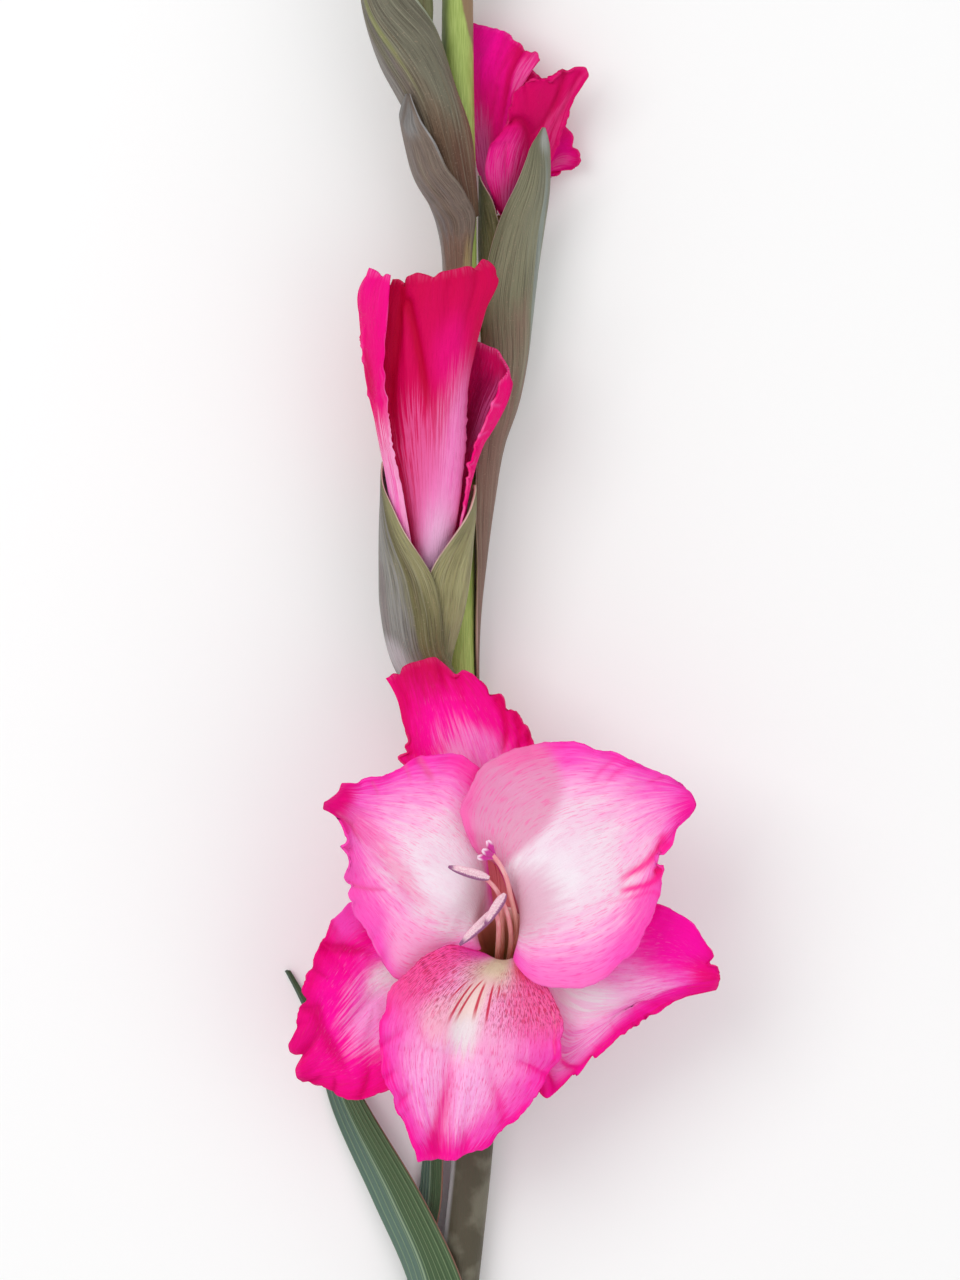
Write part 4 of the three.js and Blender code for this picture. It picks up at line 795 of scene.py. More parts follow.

# Petals. Of the margin: the height of its long waves, the depth of its scallops, the number of waves,
# where they start, and for some the height of the crimps, the depth of the nicks and how far from the
# root all of them have faded in. A fold has a path of (across, along), half width, height and how
# deep the shade painted along it is. A lobe has across, along, reach, and how far it is pushed outward
# and upward.
OPEN_PETALS = [{
    "name": "tepal_upper_right",
    "height": 1.1, "scallop": 0.45, "waves": 9, "phase": 0.6,
    "folds": [
        ([(0.38, 0.58), (0.42, 0.69), (0.68, 0.86)], 1.2, -1, 0.9),
        ([(0.46, 0.56), (0.54, 0.64), (0.9, 0.79)], 1, -0.9, 0.9),
        ([(0.38, 0.42), (0.64, 0.64), (0.95, 0.72)], 0.8, -0.5, 0.5),
        ([(0.5, 0.68), (0.85, 0.83)], 0.9, 0.7, 0), ([(-0.56, 0.68), (-0.92, 0.82)], 1, -0.5, 0.5),
        ([(-0.48, 0.7), (-0.96, 0.88)], 0.9, -0.5, 0.5), ([(-0.54, 0.85), (-0.8, 0.93)], 0.8, -0.5, 0.5),
        ([(0.3, 0.8), (0.75, 0.93)], 0.9, -0.5, 0.5),
    ],
    "lobes": [(1, 0.88, 1.8, -1.6, -0.4), (1, 0.8, 1.1, -1.4, -0.2), (1, 0.74, 1.1, 0.6, 0.3),
              (1, 0.84, 1.2, 0.3, 0.9)],
    "rails": [
        [inner_root(72), [3.4, 48, 38], [-1.2, 51, 45], [-4, 57.5, 48.5], [-2.5, 66.5, 49],
         [6.5, 74.5, 47.5], [19, 76.5, 45.5], [34.5, 73, 44.5], [47.5, 66.5, 45]],
        [inner_root(25), [9.5, 37.5, 40], [11.5, 41.5, 45.5], [20, 47.5, 47.5], [33, 54, 46.5],
         [42.5, 59.5, 46], [51, 62.5, 45.5]],
        [inner_root(-30), [8, 25, 42.5], [12, 20, 46], [20, 18, 48.5], [29.5, 21, 50],
         [37.5, 28.5, 49.5], [42, 39, 49], [43, 50, 48], [50, 59, 46]],
    ],
}, {
    "name": "tepal_upper_left",
    "height": 1.1, "scallop": 0.45, "waves": 8, "phase": 1.5,
    "folds": [
        ([(-0.44, 0.22), (-0.38, 0.38), (-0.28, 0.53), (-0.14, 0.68), (-0.04, 0.84)], 3, -2.8, 0.5),
        ([(-0.46, 0.55), (-0.64, 0.62), (-0.9, 0.7)], 0.8, -0.7, 0.8),
        ([(0.7, 0.62), (0.95, 0.71)], 1.2, -0.8, 0.8), ([(0.68, 0.7), (0.98, 0.77)], 0.8, -0.5, 0.6),
        ([(0.5, 0.8), (0.85, 0.87)], 0.7, -0.5, 0.6), ([(-0.3, 0.76), (-0.34, 0.94)], 0.9, -0.6, 0.6),
        ([(0.3, 0.78), (0.36, 0.94)], 0.9, 0.7, 0),
    ],
    "lobes": [(-1, 0.93, 2.2, -2, -0.6), (0.2, 1, 3.5, 0.3, 1.6), (1, 0.94, 1.5, -0.9, -0.5),
              (-1, 0.7, 1.1, -1.5, -0.4), (-1, 0.665, 1, 0.7, 0.4), (-1, 0.78, 2.4, 0.4, 0.8),
              (-1, 0.835, 1, -0.8, -0.4)],
    "rails": [
        [inner_root(218), [-1.4, 26.4, 39.2], [-9.5, 22.5, 41.5], [-19, 20, 43], [-27, 31.5, 45.5],
         [-32, 44, 47], [-31, 55, 47], [-36.5, 60, 46]],
        [inner_root(155), [-1.5, 39, 39], [-4.5, 42.5, 43.5], [-12, 48, 45.5], [-22.5, 54, 45],
         [-30.5, 59.5, 45.5], [-36, 62.5, 46]],
        [inner_root(108), [2, 45.5, 34], [1, 55.5, 38], [2, 66.5, 41], [-3, 73, 42], [-13, 73, 43],
         [-24, 68.5, 44.5], [-33, 67, 47.5]],
    ],
}, {
    "name": "tepal_lip",
    "height": 1, "scallop": 0.45, "waves": 9, "phase": 0,
    "folds": [
        ([(0.14, 0.03), (0.02, 0.25), (-0.02, 0.4), (0, 0.52)], 3.6, -2.4, 0),
        ([(0.06, 0.52), (0.1, 0.68), (0.2, 0.82), (0.5, 0.97)], 2.2, -2.2, 0.7),
        ([(-0.34, 0.54), (-0.56, 0.7), (-0.94, 0.88)], 1.4, -1.4, 0.5),
        ([(0.08, 0.53), (0.26, 0.53), (0.42, 0.5), (0.52, 0.44)], 1.1, -0.7, 0.3),
        ([(0.66, 0.5), (0.95, 0.6)], 1.1, -0.9, 0.5), ([(0.58, 0.72), (0.98, 0.82)], 1.1, -0.9, 0.6),
        ([(0.76, 0.65), (1, 0.73)], 1, -0.7, 0.5), ([(-0.2, 0.84), (-0.38, 0.98)], 1.2, -0.8, 0.5),
        ([(0.3, 0.88), (0.42, 1)], 1, -0.7, 0.4), ([(-0.1, 0.58), (-0.08, 0.9)], 1.8, 1, 0),
        ([(0.32, 0.6), (0.62, 0.9)], 1.5, 1, 0), ([(-0.6, 0.5), (-0.98, 0.6)], 0.9, -0.8, 0.8),
    ],
    "lobes": [(1, 1, 1.4, 0.9, 0), (-1, 0.95, 1.5, -0.5, 0), (-1, 0.58, 2, 0.2, -1)],
    "rails": [
        [inner_root(-58), [11.5, 23.5, 40], [16.5, 17.5, 42.5], [19.5, 9, 43], [18.5, 0.5, 42.5],
         [13.5, -7.5, 41], [7.5, -14.5, 40], [1.5, -20, 38.5]],
        [inner_root(-90), [2.5, 21, 43.3], [-0.5, 16.5, 45.7], [-4, 8.5, 46.6], [-5.5, 0, 44.8],
         [-6.5, -11, 41.6], [-7, -23.5, 38]],
        [inner_root(-132), [-2, 27.2, 42.6], [-7.5, 28.5, 48], [-15, 24.5, 47.5], [-21, 17.5, 46],
         [-24, 7, 45], [-22.5, -4, 43.5], [-18.5, -14, 41], [-14.5, -22.5, 38]],
    ],
}, {
    "name": "tepal_lower_right",
    "height": 0.9, "scallop": 0.35, "waves": 10, "phase": 0.9, "crimp": 0.4, "teeth": 0.05,
    "folds": [
        ([(0.2, 0.16), (0.1, 0.4), (0.04, 0.7)], 2.2, -0.9, 0),
        ([(0.5, 0.35), (0.68, 0.43), (1, 0.53)], 0.9, -1.1, 1),
        ([(0.7, 0.3), (0.8, 0.38), (1, 0.43)], 0.9, -1.1, 1), ([(0.8, 0.24), (1, 0.3)], 0.8, -0.8, 1),
        ([(-0.3, 0.66), (-0.4, 0.84), (-0.5, 0.97)], 2, -0.9, 0.5),
        ([(0.4, 0.56), (0.98, 0.68)], 0.9, -0.4, 0.5), ([(0.4, 0.66), (0.98, 0.76)], 0.9, -0.4, 0.5),
        ([(0.5, 0.48), (0.98, 0.61)], 0.9, -0.4, 0.5),
    ],
    "lobes": [(-1, 0.95, 1.2, -2.4, 0), (1, 0.93, 2, -1.2, 0), (1, 0.555, 1.3, -2.6, -0.5),
              (1, 0.522, 1, 2, 1.4), (1, 0.48, 0.9, -1.6, -0.4), (1, 0.425, 1.9, 1.8, 0.8)],
    "rails": [
        [outer_root(15), [20, 31.5, 34], [28.5, 34, 36.5], [40.5, 38.5, 38], [48, 35, 38],
         [54, 29, 36.5], [57.5, 21.5, 33]],
        [outer_root(-8), [18.5, 26.5, 34.6], [26, 25, 36.4], [36.5, 26.5, 37.5], [46, 26.5, 37.2],
         [53, 23.5, 35.2], [57.6, 20.3, 32.8]],
        [outer_root(-30), [17, 21, 35], [24, 16.5, 36.4], [32, 15.5, 37], [44, 18, 36.4],
         [57.5, 19.5, 32.5]],
        [outer_root(-51), [13, 16, 35.1], [14.8, 7, 36], [19.5, 1.5, 36.2], [26.5, 5.5, 37.3],
         [34.5, 12, 37.7], [45.5, 16.5, 36.3], [57, 18.3, 32.8]],
        [outer_root(-72), [9.5, 14, 35], [10.5, 4, 36], [15.5, -8, 35], [24, -2, 37], [34, 6.5, 38],
         [46.5, 14, 36], [56.5, 17, 33]],
    ],
}, {
    "name": "tepal_lower_left",
    "height": 1.1, "scallop": 0.45, "waves": 10, "phase": 2.2,
    "folds": [
        ([(-0.7, 0.77), (-0.16, 0.8), (0.32, 0.81), (0.6, 0.79)], 2, -1.5, 0.8),
        ([(0.4, 0.42), (0.7, 0.55), (0.98, 0.63)], 1.7, -1.1, 1),
        ([(0.36, 0.84), (0.38, 1)], 1.1, -1.2, 0.7), ([(0.02, 0.44), (0, 0.7)], 1.5, -0.6, 0),
        ([(-0.6, 0.66), (-0.95, 0.76)], 0.9, -0.8, 0.8), ([(-0.5, 0.84), (-0.95, 0.87)], 0.8, -0.8, 0.8),
        ([(-0.4, 0.9), (-0.8, 0.97)], 0.8, -0.6, 0.8), ([(0.6, 0.66), (0.98, 0.72)], 0.8, -0.5, 0.6),
        ([(0.66, 0.82), (0.98, 0.87)], 1, -0.7, 0.8),
    ],
    "lobes": [(0.38, 1, 1.3, -2, -0.5), (0.8, 0.97, 2.6, 0.6, 1.4), (-0.05, 1, 2.6, 0.6, 1.4),
              (1, 0.85, 1.2, -1.1, -0.4)],
    "rails": [
        [outer_root(-105), [-1, 14, 35], [-5.5, 7.5, 36], [-14, -1.5, 36.5], [-21.5, -6, 36],
         [-28.5, -9.5, 34], [-36.5, -7, 32], [-42.5, -5, 31]],
        [outer_root(-150), [-7, 23.5, 35], [-14.5, 21, 36], [-24, 16, 36], [-32, 8, 35.4],
         [-39.5, 0, 33], [-43.5, -2, 31.5]],
        [outer_root(165), [-8, 33, 34], [-18, 37.5, 37], [-30.5, 38.5, 39], [-37, 30, 39],
         [-41, 21.5, 37.5], [-43.5, 11.5, 35], [-44.5, 5, 33]],
    ],
}, {
    "name": "tepal_top",
    "height": 1, "scallop": 0.45, "waves": 9, "phase": 0.4,
    "folds": [
        ([(0.56, 0.6), (0.74, 0.72), (0.86, 0.85)], 1, -1.1, 1),
        ([(0.76, 0.58), (0.9, 0.74), (1, 0.8)], 0.8, -1, 1),
        ([(0.9, 0.62), (0.98, 0.72)], 0.7, -0.7, 0.9), ([(0.3, 0.78), (0.42, 0.94)], 1.2, -0.9, 0.5),
        ([(0.1, 0.86), (0.16, 1)], 0.8, -0.9, 0.4), ([(-0.7, 0.8), (-0.86, 0.98)], 0.9, -0.8, 0.6),
        ([(-0.3, 0.82), (-0.34, 0.96)], 1.2, -0.6, 0.5), ([(-0.8, 0.64), (-0.98, 0.74)], 0.8, -0.5, 0.6),
    ],
    "lobes": [(-0.76, 1, 0.9, -1.2, 0), (0.5, 1, 2.4, -3.2, 0), (0.12, 1, 1, 0.5, 0.6),
              (1, 0.935, 0.8, -1.1, 0), (1, 0.89, 1, 0.6, 0.5), (1, 0.85, 0.8, -1.3, 0),
              (1, 0.81, 1, 0.7, 0.5), (1, 0.76, 0.8, -0.5, 0), (-1, 0.66, 1.6, 3, -1.5),
              (-1, 0.72, 0.8, 1, -1)],
    "rails": [
        [outer_root(130), [-2.5, 45.5, 31], [-11.5, 62.5, 36], [-16.5, 72, 36.5], [-18, 80.5, 36],
         [-19.5, 86, 35.5], [-22.5, 91.5, 34]],
        [outer_root(90), [5, 45.5, 29.5], [0, 62.5, 33.4], [-5, 74.5, 35], [-8.5, 85.5, 35.4],
         [-12, 96.5, 33.5]],
        [outer_root(50), [9.5, 48, 31.5], [14, 62.5, 36], [13, 76, 37], [9, 83, 37], [5, 87, 36.5],
         [-0.5, 91.5, 35.5]],
    ],
}]

OPEN_TUBE_AXIS = [
    [4, -9, 11], [5, 4, 13.5], [5.5, 15.5, 17.5], [5.5, 23.5, 23.8], [5.5, 28, 30.5],
    MOUTH_CENTRE,
]

# Radius and place along the axis: up the outside, over the mouth and down the throat.
OPEN_TUBE_PROFILE = [
    (0, 0), (2.5, 0), (2.6, 0.3), (3.3, 0.55), (4.3, 0.68), (5.6, 0.8), (6.9, 0.91), (7.9, 1),
    (7.2, 1), (6.2, 0.92), (4.9, 0.81), (3.6, 0.72), (2.2, 0.64), (0, 0.62),
]

FILAMENTS = {
    "filament_left": [
        [4.5, 21.8, 22.6], [5.2, 27.5, 31], [5.2, 33.5, 37.5], [5, 39, 43], [3.5, 42, 46.5],
        [1.2, 44.4, 48.9],
    ],
    "filament_middle": [
        [6, 20.4, 22.8], [7.2, 26.1, 31.5], [7.4, 30.7, 37.5], [6.6, 35.2, 42], [5.4, 38.6, 45.8],
    ],
    "filament_right": [
        [4.6, 20.2, 23.8], [4.2, 25, 31.5], [4.4, 29.5, 37], [4.4, 32.8, 40.6], [3.8, 36, 43.8],
    ],
}

ANTHERS = {
    "anther_left": [[2.2, 44.4, 50.7], [-7.5, 47.2, 51.6]],
    "anther_middle": [[6, 40.6, 47.2], [1.2, 33.4, 49]],
    "anther_right": [[4.6, 37.4, 45.4], [-4.8, 28.6, 49.6]],
}

STYLE_ROWS = [
    [6.6, 22.6, 23.6], [8.6, 29, 32.5], [8.6, 34, 38.5], [7.4, 39.5, 43.2], [5.8, 45.5, 48],
    [3, 50, 51.5],
]

STIGMA_LOBES = [
    [[3.6, 49.4, 51], [0.6, 51.2, 53.4]],
    [[3.6, 49.4, 51], [-0.6, 49.4, 52.6]],
    [[3.6, 49.4, 51], [1.8, 53.4, 52.2]],
]

# Rows as `sheath` takes them.
BRACTS = {
    "open_bloom_bract_outer": [
        [3, -16, 10.4, 1.6, 1.6, 140, -30], [4, -10, 11.2, 3.5, 3.5, 145, -35],
        [4.6, -4, 12.3, 4.6, 4.6, 160, -55], [5.1, 6, 14.2, 5.1, 5.1, 175, -70],
        [5.4, 15, 17.5, 5.8, 5.8, 152, -60], [5.5, 21, 21.6, 6.4, 6.4, 110, -35],
        [5.5, 25, 25.6, 7.3, 7.3, 60, 20]],
    "open_bloom_bract_inner": [
        [4.3, -5, 12, 3.2, 3.2, 225, 135], [4.9, 3, 13.5, 3.6, 3.6, 240, 105],
        [5.3, 11, 15.9, 3.9, 3.9, 235, 105], [5.5, 17, 18.8, 4.4, 4.4, 215, 115],
        [5.5, 20.5, 21.4, 5, 5, 190, 140]],
    "half_open_bract_outer": [
        [-8.1, 79, 11.1, 1.6, 1.6, 225, 45], [-9, 84, 12.6, 4, 4, 235, 35],
        [-10.6, 90, 15, 6.3, 6.1, 245, 38], [-13, 97.5, 18, 8.4, 7.7, 250, 54],
        [-13.2, 110, 21, 10.9, 8.7, 250, 68], [-12.8, 117, 22, 11.4, 9, 245, 82],
        [-12.5, 128, 23.5, 11.6, 9.4, 235, 120], [-12.3, 136, 24.5, 11.5, 9.8, 222, 150],
        [-12.3, 140, 25.1, 11.4, 9.9, 211, 172], [-12.3, 143.5, 25.6, 11.3, 10, 199, 190]],
    "half_open_bract_inner": [
        [-11.6, 92, 16, 4.3, 4, 70, -30], [-13, 98, 18.4, 6.6, 5.8, 76, -40],
        [-13, 110, 21.2, 9.4, 7.2, 88, -60], [-12.6, 117, 22.2, 10.1, 7.6, 88, -60],
        [-12.3, 127, 23.5, 10.7, 8.3, 55, -55], [-12, 133, 24.3, 10.9, 8.7, 28, -45],
        [-11.9, 136, 24.7, 10.8, 8.9, 14, -34], [-11.8, 138.5, 25, 10.6, 9, -4, -14]],
    "side_bloom_bract_outer": [
        [-5.2, 90, 8.1, 4.8, 4.8, 14, -60], [-5, 105, 8.9, 4.9, 4.6, 32, -80],
        [-4.2, 120, 9.8, 5.6, 5, 50, -95], [-2.2, 135, 10.3, 5.6, 5.5, 78, -105],
        [0.5, 150, 10, 5.6, 5.8, 100, -110], [3.2, 160, 9.8, 6.3, 6, 120, -115],
        [5, 170, 9.9, 6.5, 6.2, 135, -120], [6.2, 181, 10.5, 6.6, 6.3, 152, -115],
        [7.6, 193, 11.4, 6.6, 6.4, 144, -90], [9.2, 203, 12.4, 6.5, 6.3, 128, -60],
        [10.6, 211, 13.5, 6.2, 6, 108, -42], [12, 217.5, 15, 5, 5.2, 98, -25],
        [13.5, 222.5, 16.6, 3.4, 3.8, 92, 10], [14.5, 225.6, 17.6, 2.2, 2.6, 68, 50]],
    "side_bloom_bract_inner": [
        [5.4, 172, 10.2, 4.4, 4.4, 200, 60], [5.5, 184, 10.3, 5.2, 4.2, 205, 80],
        [5.6, 195, 10.6, 5.8, 4.2, 208, 85], [6, 203, 11.2, 6.2, 4.8, 208, 105],
        [6.4, 209, 11.8, 6.5, 4.8, 206, 130], [6.5, 213.5, 12.2, 6.6, 4.8, 192, 172]],
    "left_bud_bract_long": [
        [-4.8, 203.5, 15, 4.4, 4.4, 218, 8], [-5.4, 208, 16.4, 4.8, 5, 225, 8],
        [-6.4, 213, 18.2, 5.4, 5.5, 236, 10], [-8.5, 221.5, 21, 6.6, 5.9, 245, 10],
        [-12, 231, 23, 6.7, 6.2, 265, -10], [-17, 243, 23.5, 7.8, 6.6, 280, 0],
        [-21.2, 255, 23.5, 7.2, 7, 290, 45], [-23, 267.5, 22.8, 6.2, 6, 285, 75],
        [-25, 278, 21.8, 4, 4.2, 265, 95], [-26.5, 286, 20.8, 2, 2.2, 230, 130]],
    "left_bud_bract_short": [
        [-4.8, 183, 14.1, 4.6, 4.6, 190, 50], [-4.7, 196, 14.8, 4.5, 4.6, 195, 50],
        [-4.9, 200, 15.2, 5, 5.1, 200, 45], [-5.4, 204, 16.3, 5.5, 5.8, 208, 42],
        [-6.6, 208.5, 18, 6, 6.6, 218, 60], [-9.6, 215, 20.8, 6.7, 7.4, 228, 76],
        [-11.2, 222, 22.6, 7, 7.8, 220, 90], [-12.2, 227, 23.6, 7, 7.9, 200, 108],
        [-12.8, 230, 24.2, 6.8, 7.7, 156, 116], [-13, 232.5, 24.5, 6.5, 7.5, 136, 126]],
    "left_bud_bract_green": [
        [-12.5, 233, 22.3, 5.6, 4.7, 90, -60], [-16.9, 243, 22.8, 5.3, 4.7, 120, -70],
        [-17.6, 255, 23, 5.9, 3.9, 130, -80], [-20.5, 268, 22.2, 5, 4.2, 130, -90],
        [-22.4, 280, 21.2, 3.2, 3, 130, -90], [-23.6, 290, 20.4, 1.4, 1.4, 110, -60]],
}

HALF_OPEN_TUBE_AXIS = [[-9.2, 86, 12.4], [-12, 98, 18], [-12.6, 110, 20.9]]

HALF_OPEN_PETALS = [{
    "name": "half_open_tepal_front",
    "height": 0.7, "scallop": 0.35, "waves": 9, "phase": 0.3, "calm": 0.85,
    "folds": [
        ([(-0.88, 0.5), (-0.82, 0.68), (-0.74, 0.84), (-0.74, 0.98)], 1.9, -1.2, 0.9),
        ([(-0.22, 0.58), (-0.36, 0.74), (-0.56, 0.92)], 1.5, -1.4, 1),
        ([(-0.54, 0.62), (-0.58, 0.78), (-0.66, 0.9)], 1, 0.7, 0),
        ([(0.05, 0.76), (0.16, 0.98)], 1.3, -0.6, 0.2), ([(0.5, 0.74), (0.66, 0.98)], 1.3, -0.7, 0.3),
    ],
    "lobes": [(-0.78, 1, 1.3, -1.6, -0.5), (-0.45, 1, 1.5, 0.6, 1), (-0.16, 1, 1.1, -1, -0.5),
              (0.4, 1, 2, 0.5, 1), (0.72, 1, 0.9, -1, 0), (0.86, 1, 1, 0.9, 0.8),
              (1, 0.95, 1.1, -0.6, -0.8)],
    "rails": [
        [[-13.8, 110.5, 22.5], [-16.5, 125, 25], [-19, 137, 27.6], [-22, 149, 29.4], [-24, 158.5, 30.4],
         [-24.4, 170.5, 31.4], [-23.4, 181, 33], [-21.6, 187, 34.4]],
        [[-12, 110, 24], [-11.5, 125, 28.5], [-10.5, 139, 32], [-10, 158, 36], [-9.5, 175, 39],
         [-9, 188.5, 40.5]],
        [[-10, 110.5, 22.5], [-6.8, 123.5, 25.2], [-4.9, 134.5, 27.8], [-3.5, 146.5, 30.2],
         [-3, 158.5, 32.2], [-1.5, 170.5, 34], [1, 179.5, 36], [4, 189, 37], [2, 191.5, 38]],
    ],
}, {
    "name": "half_open_tepal_left",
    "height": 0.8, "scallop": 0.45, "waves": 13, "phase": 1.2, "calm": 0.8,
    "folds": [
        ([(0.6, 0.6), (0.1, 0.64), (-0.2, 0.66)], 0.5, 0.5, 0.5),
        ([(0.55, 0.68), (0.3, 0.73), (0, 0.72)], 0.5, 0.5, 0.5),
        ([(0.6, 0.76), (0.2, 0.78), (-0.1, 0.8)], 0.5, 0.5, 0.5),
        ([(0.3, 0.56), (0.25, 0.7), (0.4, 0.82)], 0.6, 0.6, 0.4),
        ([(0.45, 0.86), (0, 0.87)], 0.6, -0.6, 0),
    ],
    "lobes": [(-0.1, 1, 1.2, -0.9, 0), (0.68, 1, 0.9, -0.9, -0.4), (0.3, 1, 1.6, 0.6, 0.8)],
    "rails": [
        [[-14.8, 111.4, 18], [-16.6, 125, 18], [-18, 139.5, 18.5], [-20, 154, 19], [-21.5, 168.5, 20],
         [-23, 178, 21], [-24, 185.5, 23]],
        [[-15.6, 111, 20.4], [-20.2, 124, 25.2], [-22.3, 139.5, 26.8], [-25, 153.5, 28],
         [-27, 165.5, 29], [-28.5, 177.5, 29], [-28.5, 185, 30], [-26, 189, 31]],
        [[-14.5, 112.5, 23.8], [-16.4, 123.5, 28.8], [-18.6, 136.5, 32.5], [-20.8, 146.5, 34.5],
         [-22, 156, 36.5], [-23, 165.5, 38], [-22.5, 175, 39], [-21.5, 182, 39], [-21.5, 187.5, 38]],
    ],
}, {
    "name": "half_open_tepal_right",
    "height": 0.7, "scallop": 0.45, "waves": 11, "phase": 2, "calm": 0.8,
    "folds": [
        ([(-0.6, 0.62), (-0.98, 0.6)], 0.7, -0.6, 0.8), ([(-0.6, 0.74), (-0.98, 0.74)], 0.7, -0.6, 0.8),
        ([(-0.6, 0.86), (-0.98, 0.88)], 0.7, -0.6, 0.8), ([(-0.5, 0.7), (-0.45, 0.94)], 1, 0.9, 0),
    ],
    "lobes": [(-1, 0.7, 1, -0.6, 0), (-1, 0.8, 1.2, 0.7, 0.5), (0.2, 1, 1.2, -0.6, 0)],
    "rails": [
        [[-9, 111, 21.8], [-5.6, 123.5, 26.9], [-3.6, 134.5, 29.4], [-2, 144, 32], [0.6, 151, 34.5],
         [2.8, 157, 35], [5, 163, 34]],
        [[-8, 110.5, 19.6], [-3.9, 125, 22.6], [-3.1, 137, 24.4], [-0.6, 146, 26], [3.5, 156, 28],
         [6.3, 162, 29], [6, 168, 30]],
        [[-9.4, 111.4, 18.2], [-7.6, 125, 18.9], [-6.2, 139.5, 20.6], [-4.6, 154, 22.5], [-2.6, 166, 24],
         [-0.6, 173, 26]],
    ],
}, {
    "name": "half_open_tepal_back",
    "height": 0.7, "scallop": 0.3, "waves": 8, "phase": 0.8,
    "rails": [
        [[-10.6, 111.7, 17.8], [-8, 130, 17], [-6.4, 149, 18.6], [-5, 166, 20.4], [-0.5, 178.5, 24]],
        [[-12, 111.7, 17.2], [-11.5, 130, 15.5], [-11.5, 149, 17], [-10.5, 166, 18.8],
         [-8.5, 184, 21.5]],
        [[-13.4, 111.7, 17.7], [-14.6, 130, 16], [-16.6, 149, 17], [-18.4, 166, 18.8],
         [-18.6, 180.5, 21.5]],
    ],
}, {
    "name": "half_open_tepal_core_left",
    "height": 0.5, "scallop": 0.3, "waves": 7, "phase": 0.1,
    "rails": [
        [[-12, 111, 19], [-12, 128, 19.8], [-12.5, 146, 21.5], [-14, 162, 23.5]],
        [[-13, 111, 18.8], [-14.8, 128, 21.5], [-17, 146, 24], [-19.2, 164, 26]],
        [[-12.8, 111, 20.8], [-14.2, 128, 24.6], [-16.4, 146, 28.4], [-18, 162, 31]],
    ],
}, {
    "name": "half_open_tepal_core_right",
    "height": 0.5, "scallop": 0.3, "waves": 7, "phase": 1.4,
    "rails": [
        [[-11, 111, 21], [-9, 128, 25], [-7.4, 146, 28.6], [-6.4, 158, 31]],
        [[-10, 111, 19.4], [-8, 128, 22.4], [-6.6, 146, 25.4], [-5.4, 160, 27.6]],
        [[-10.6, 111, 18.8], [-9, 128, 20.4], [-8.6, 146, 22.6], [-8, 158, 24.6]],
    ],
}]

SIDE_TUBE_AXIS = [[0.7, 153.5, 10.2], [4.4, 172, 10.2], [6, 190, 9.6], [6, 203.8, 8.8]]

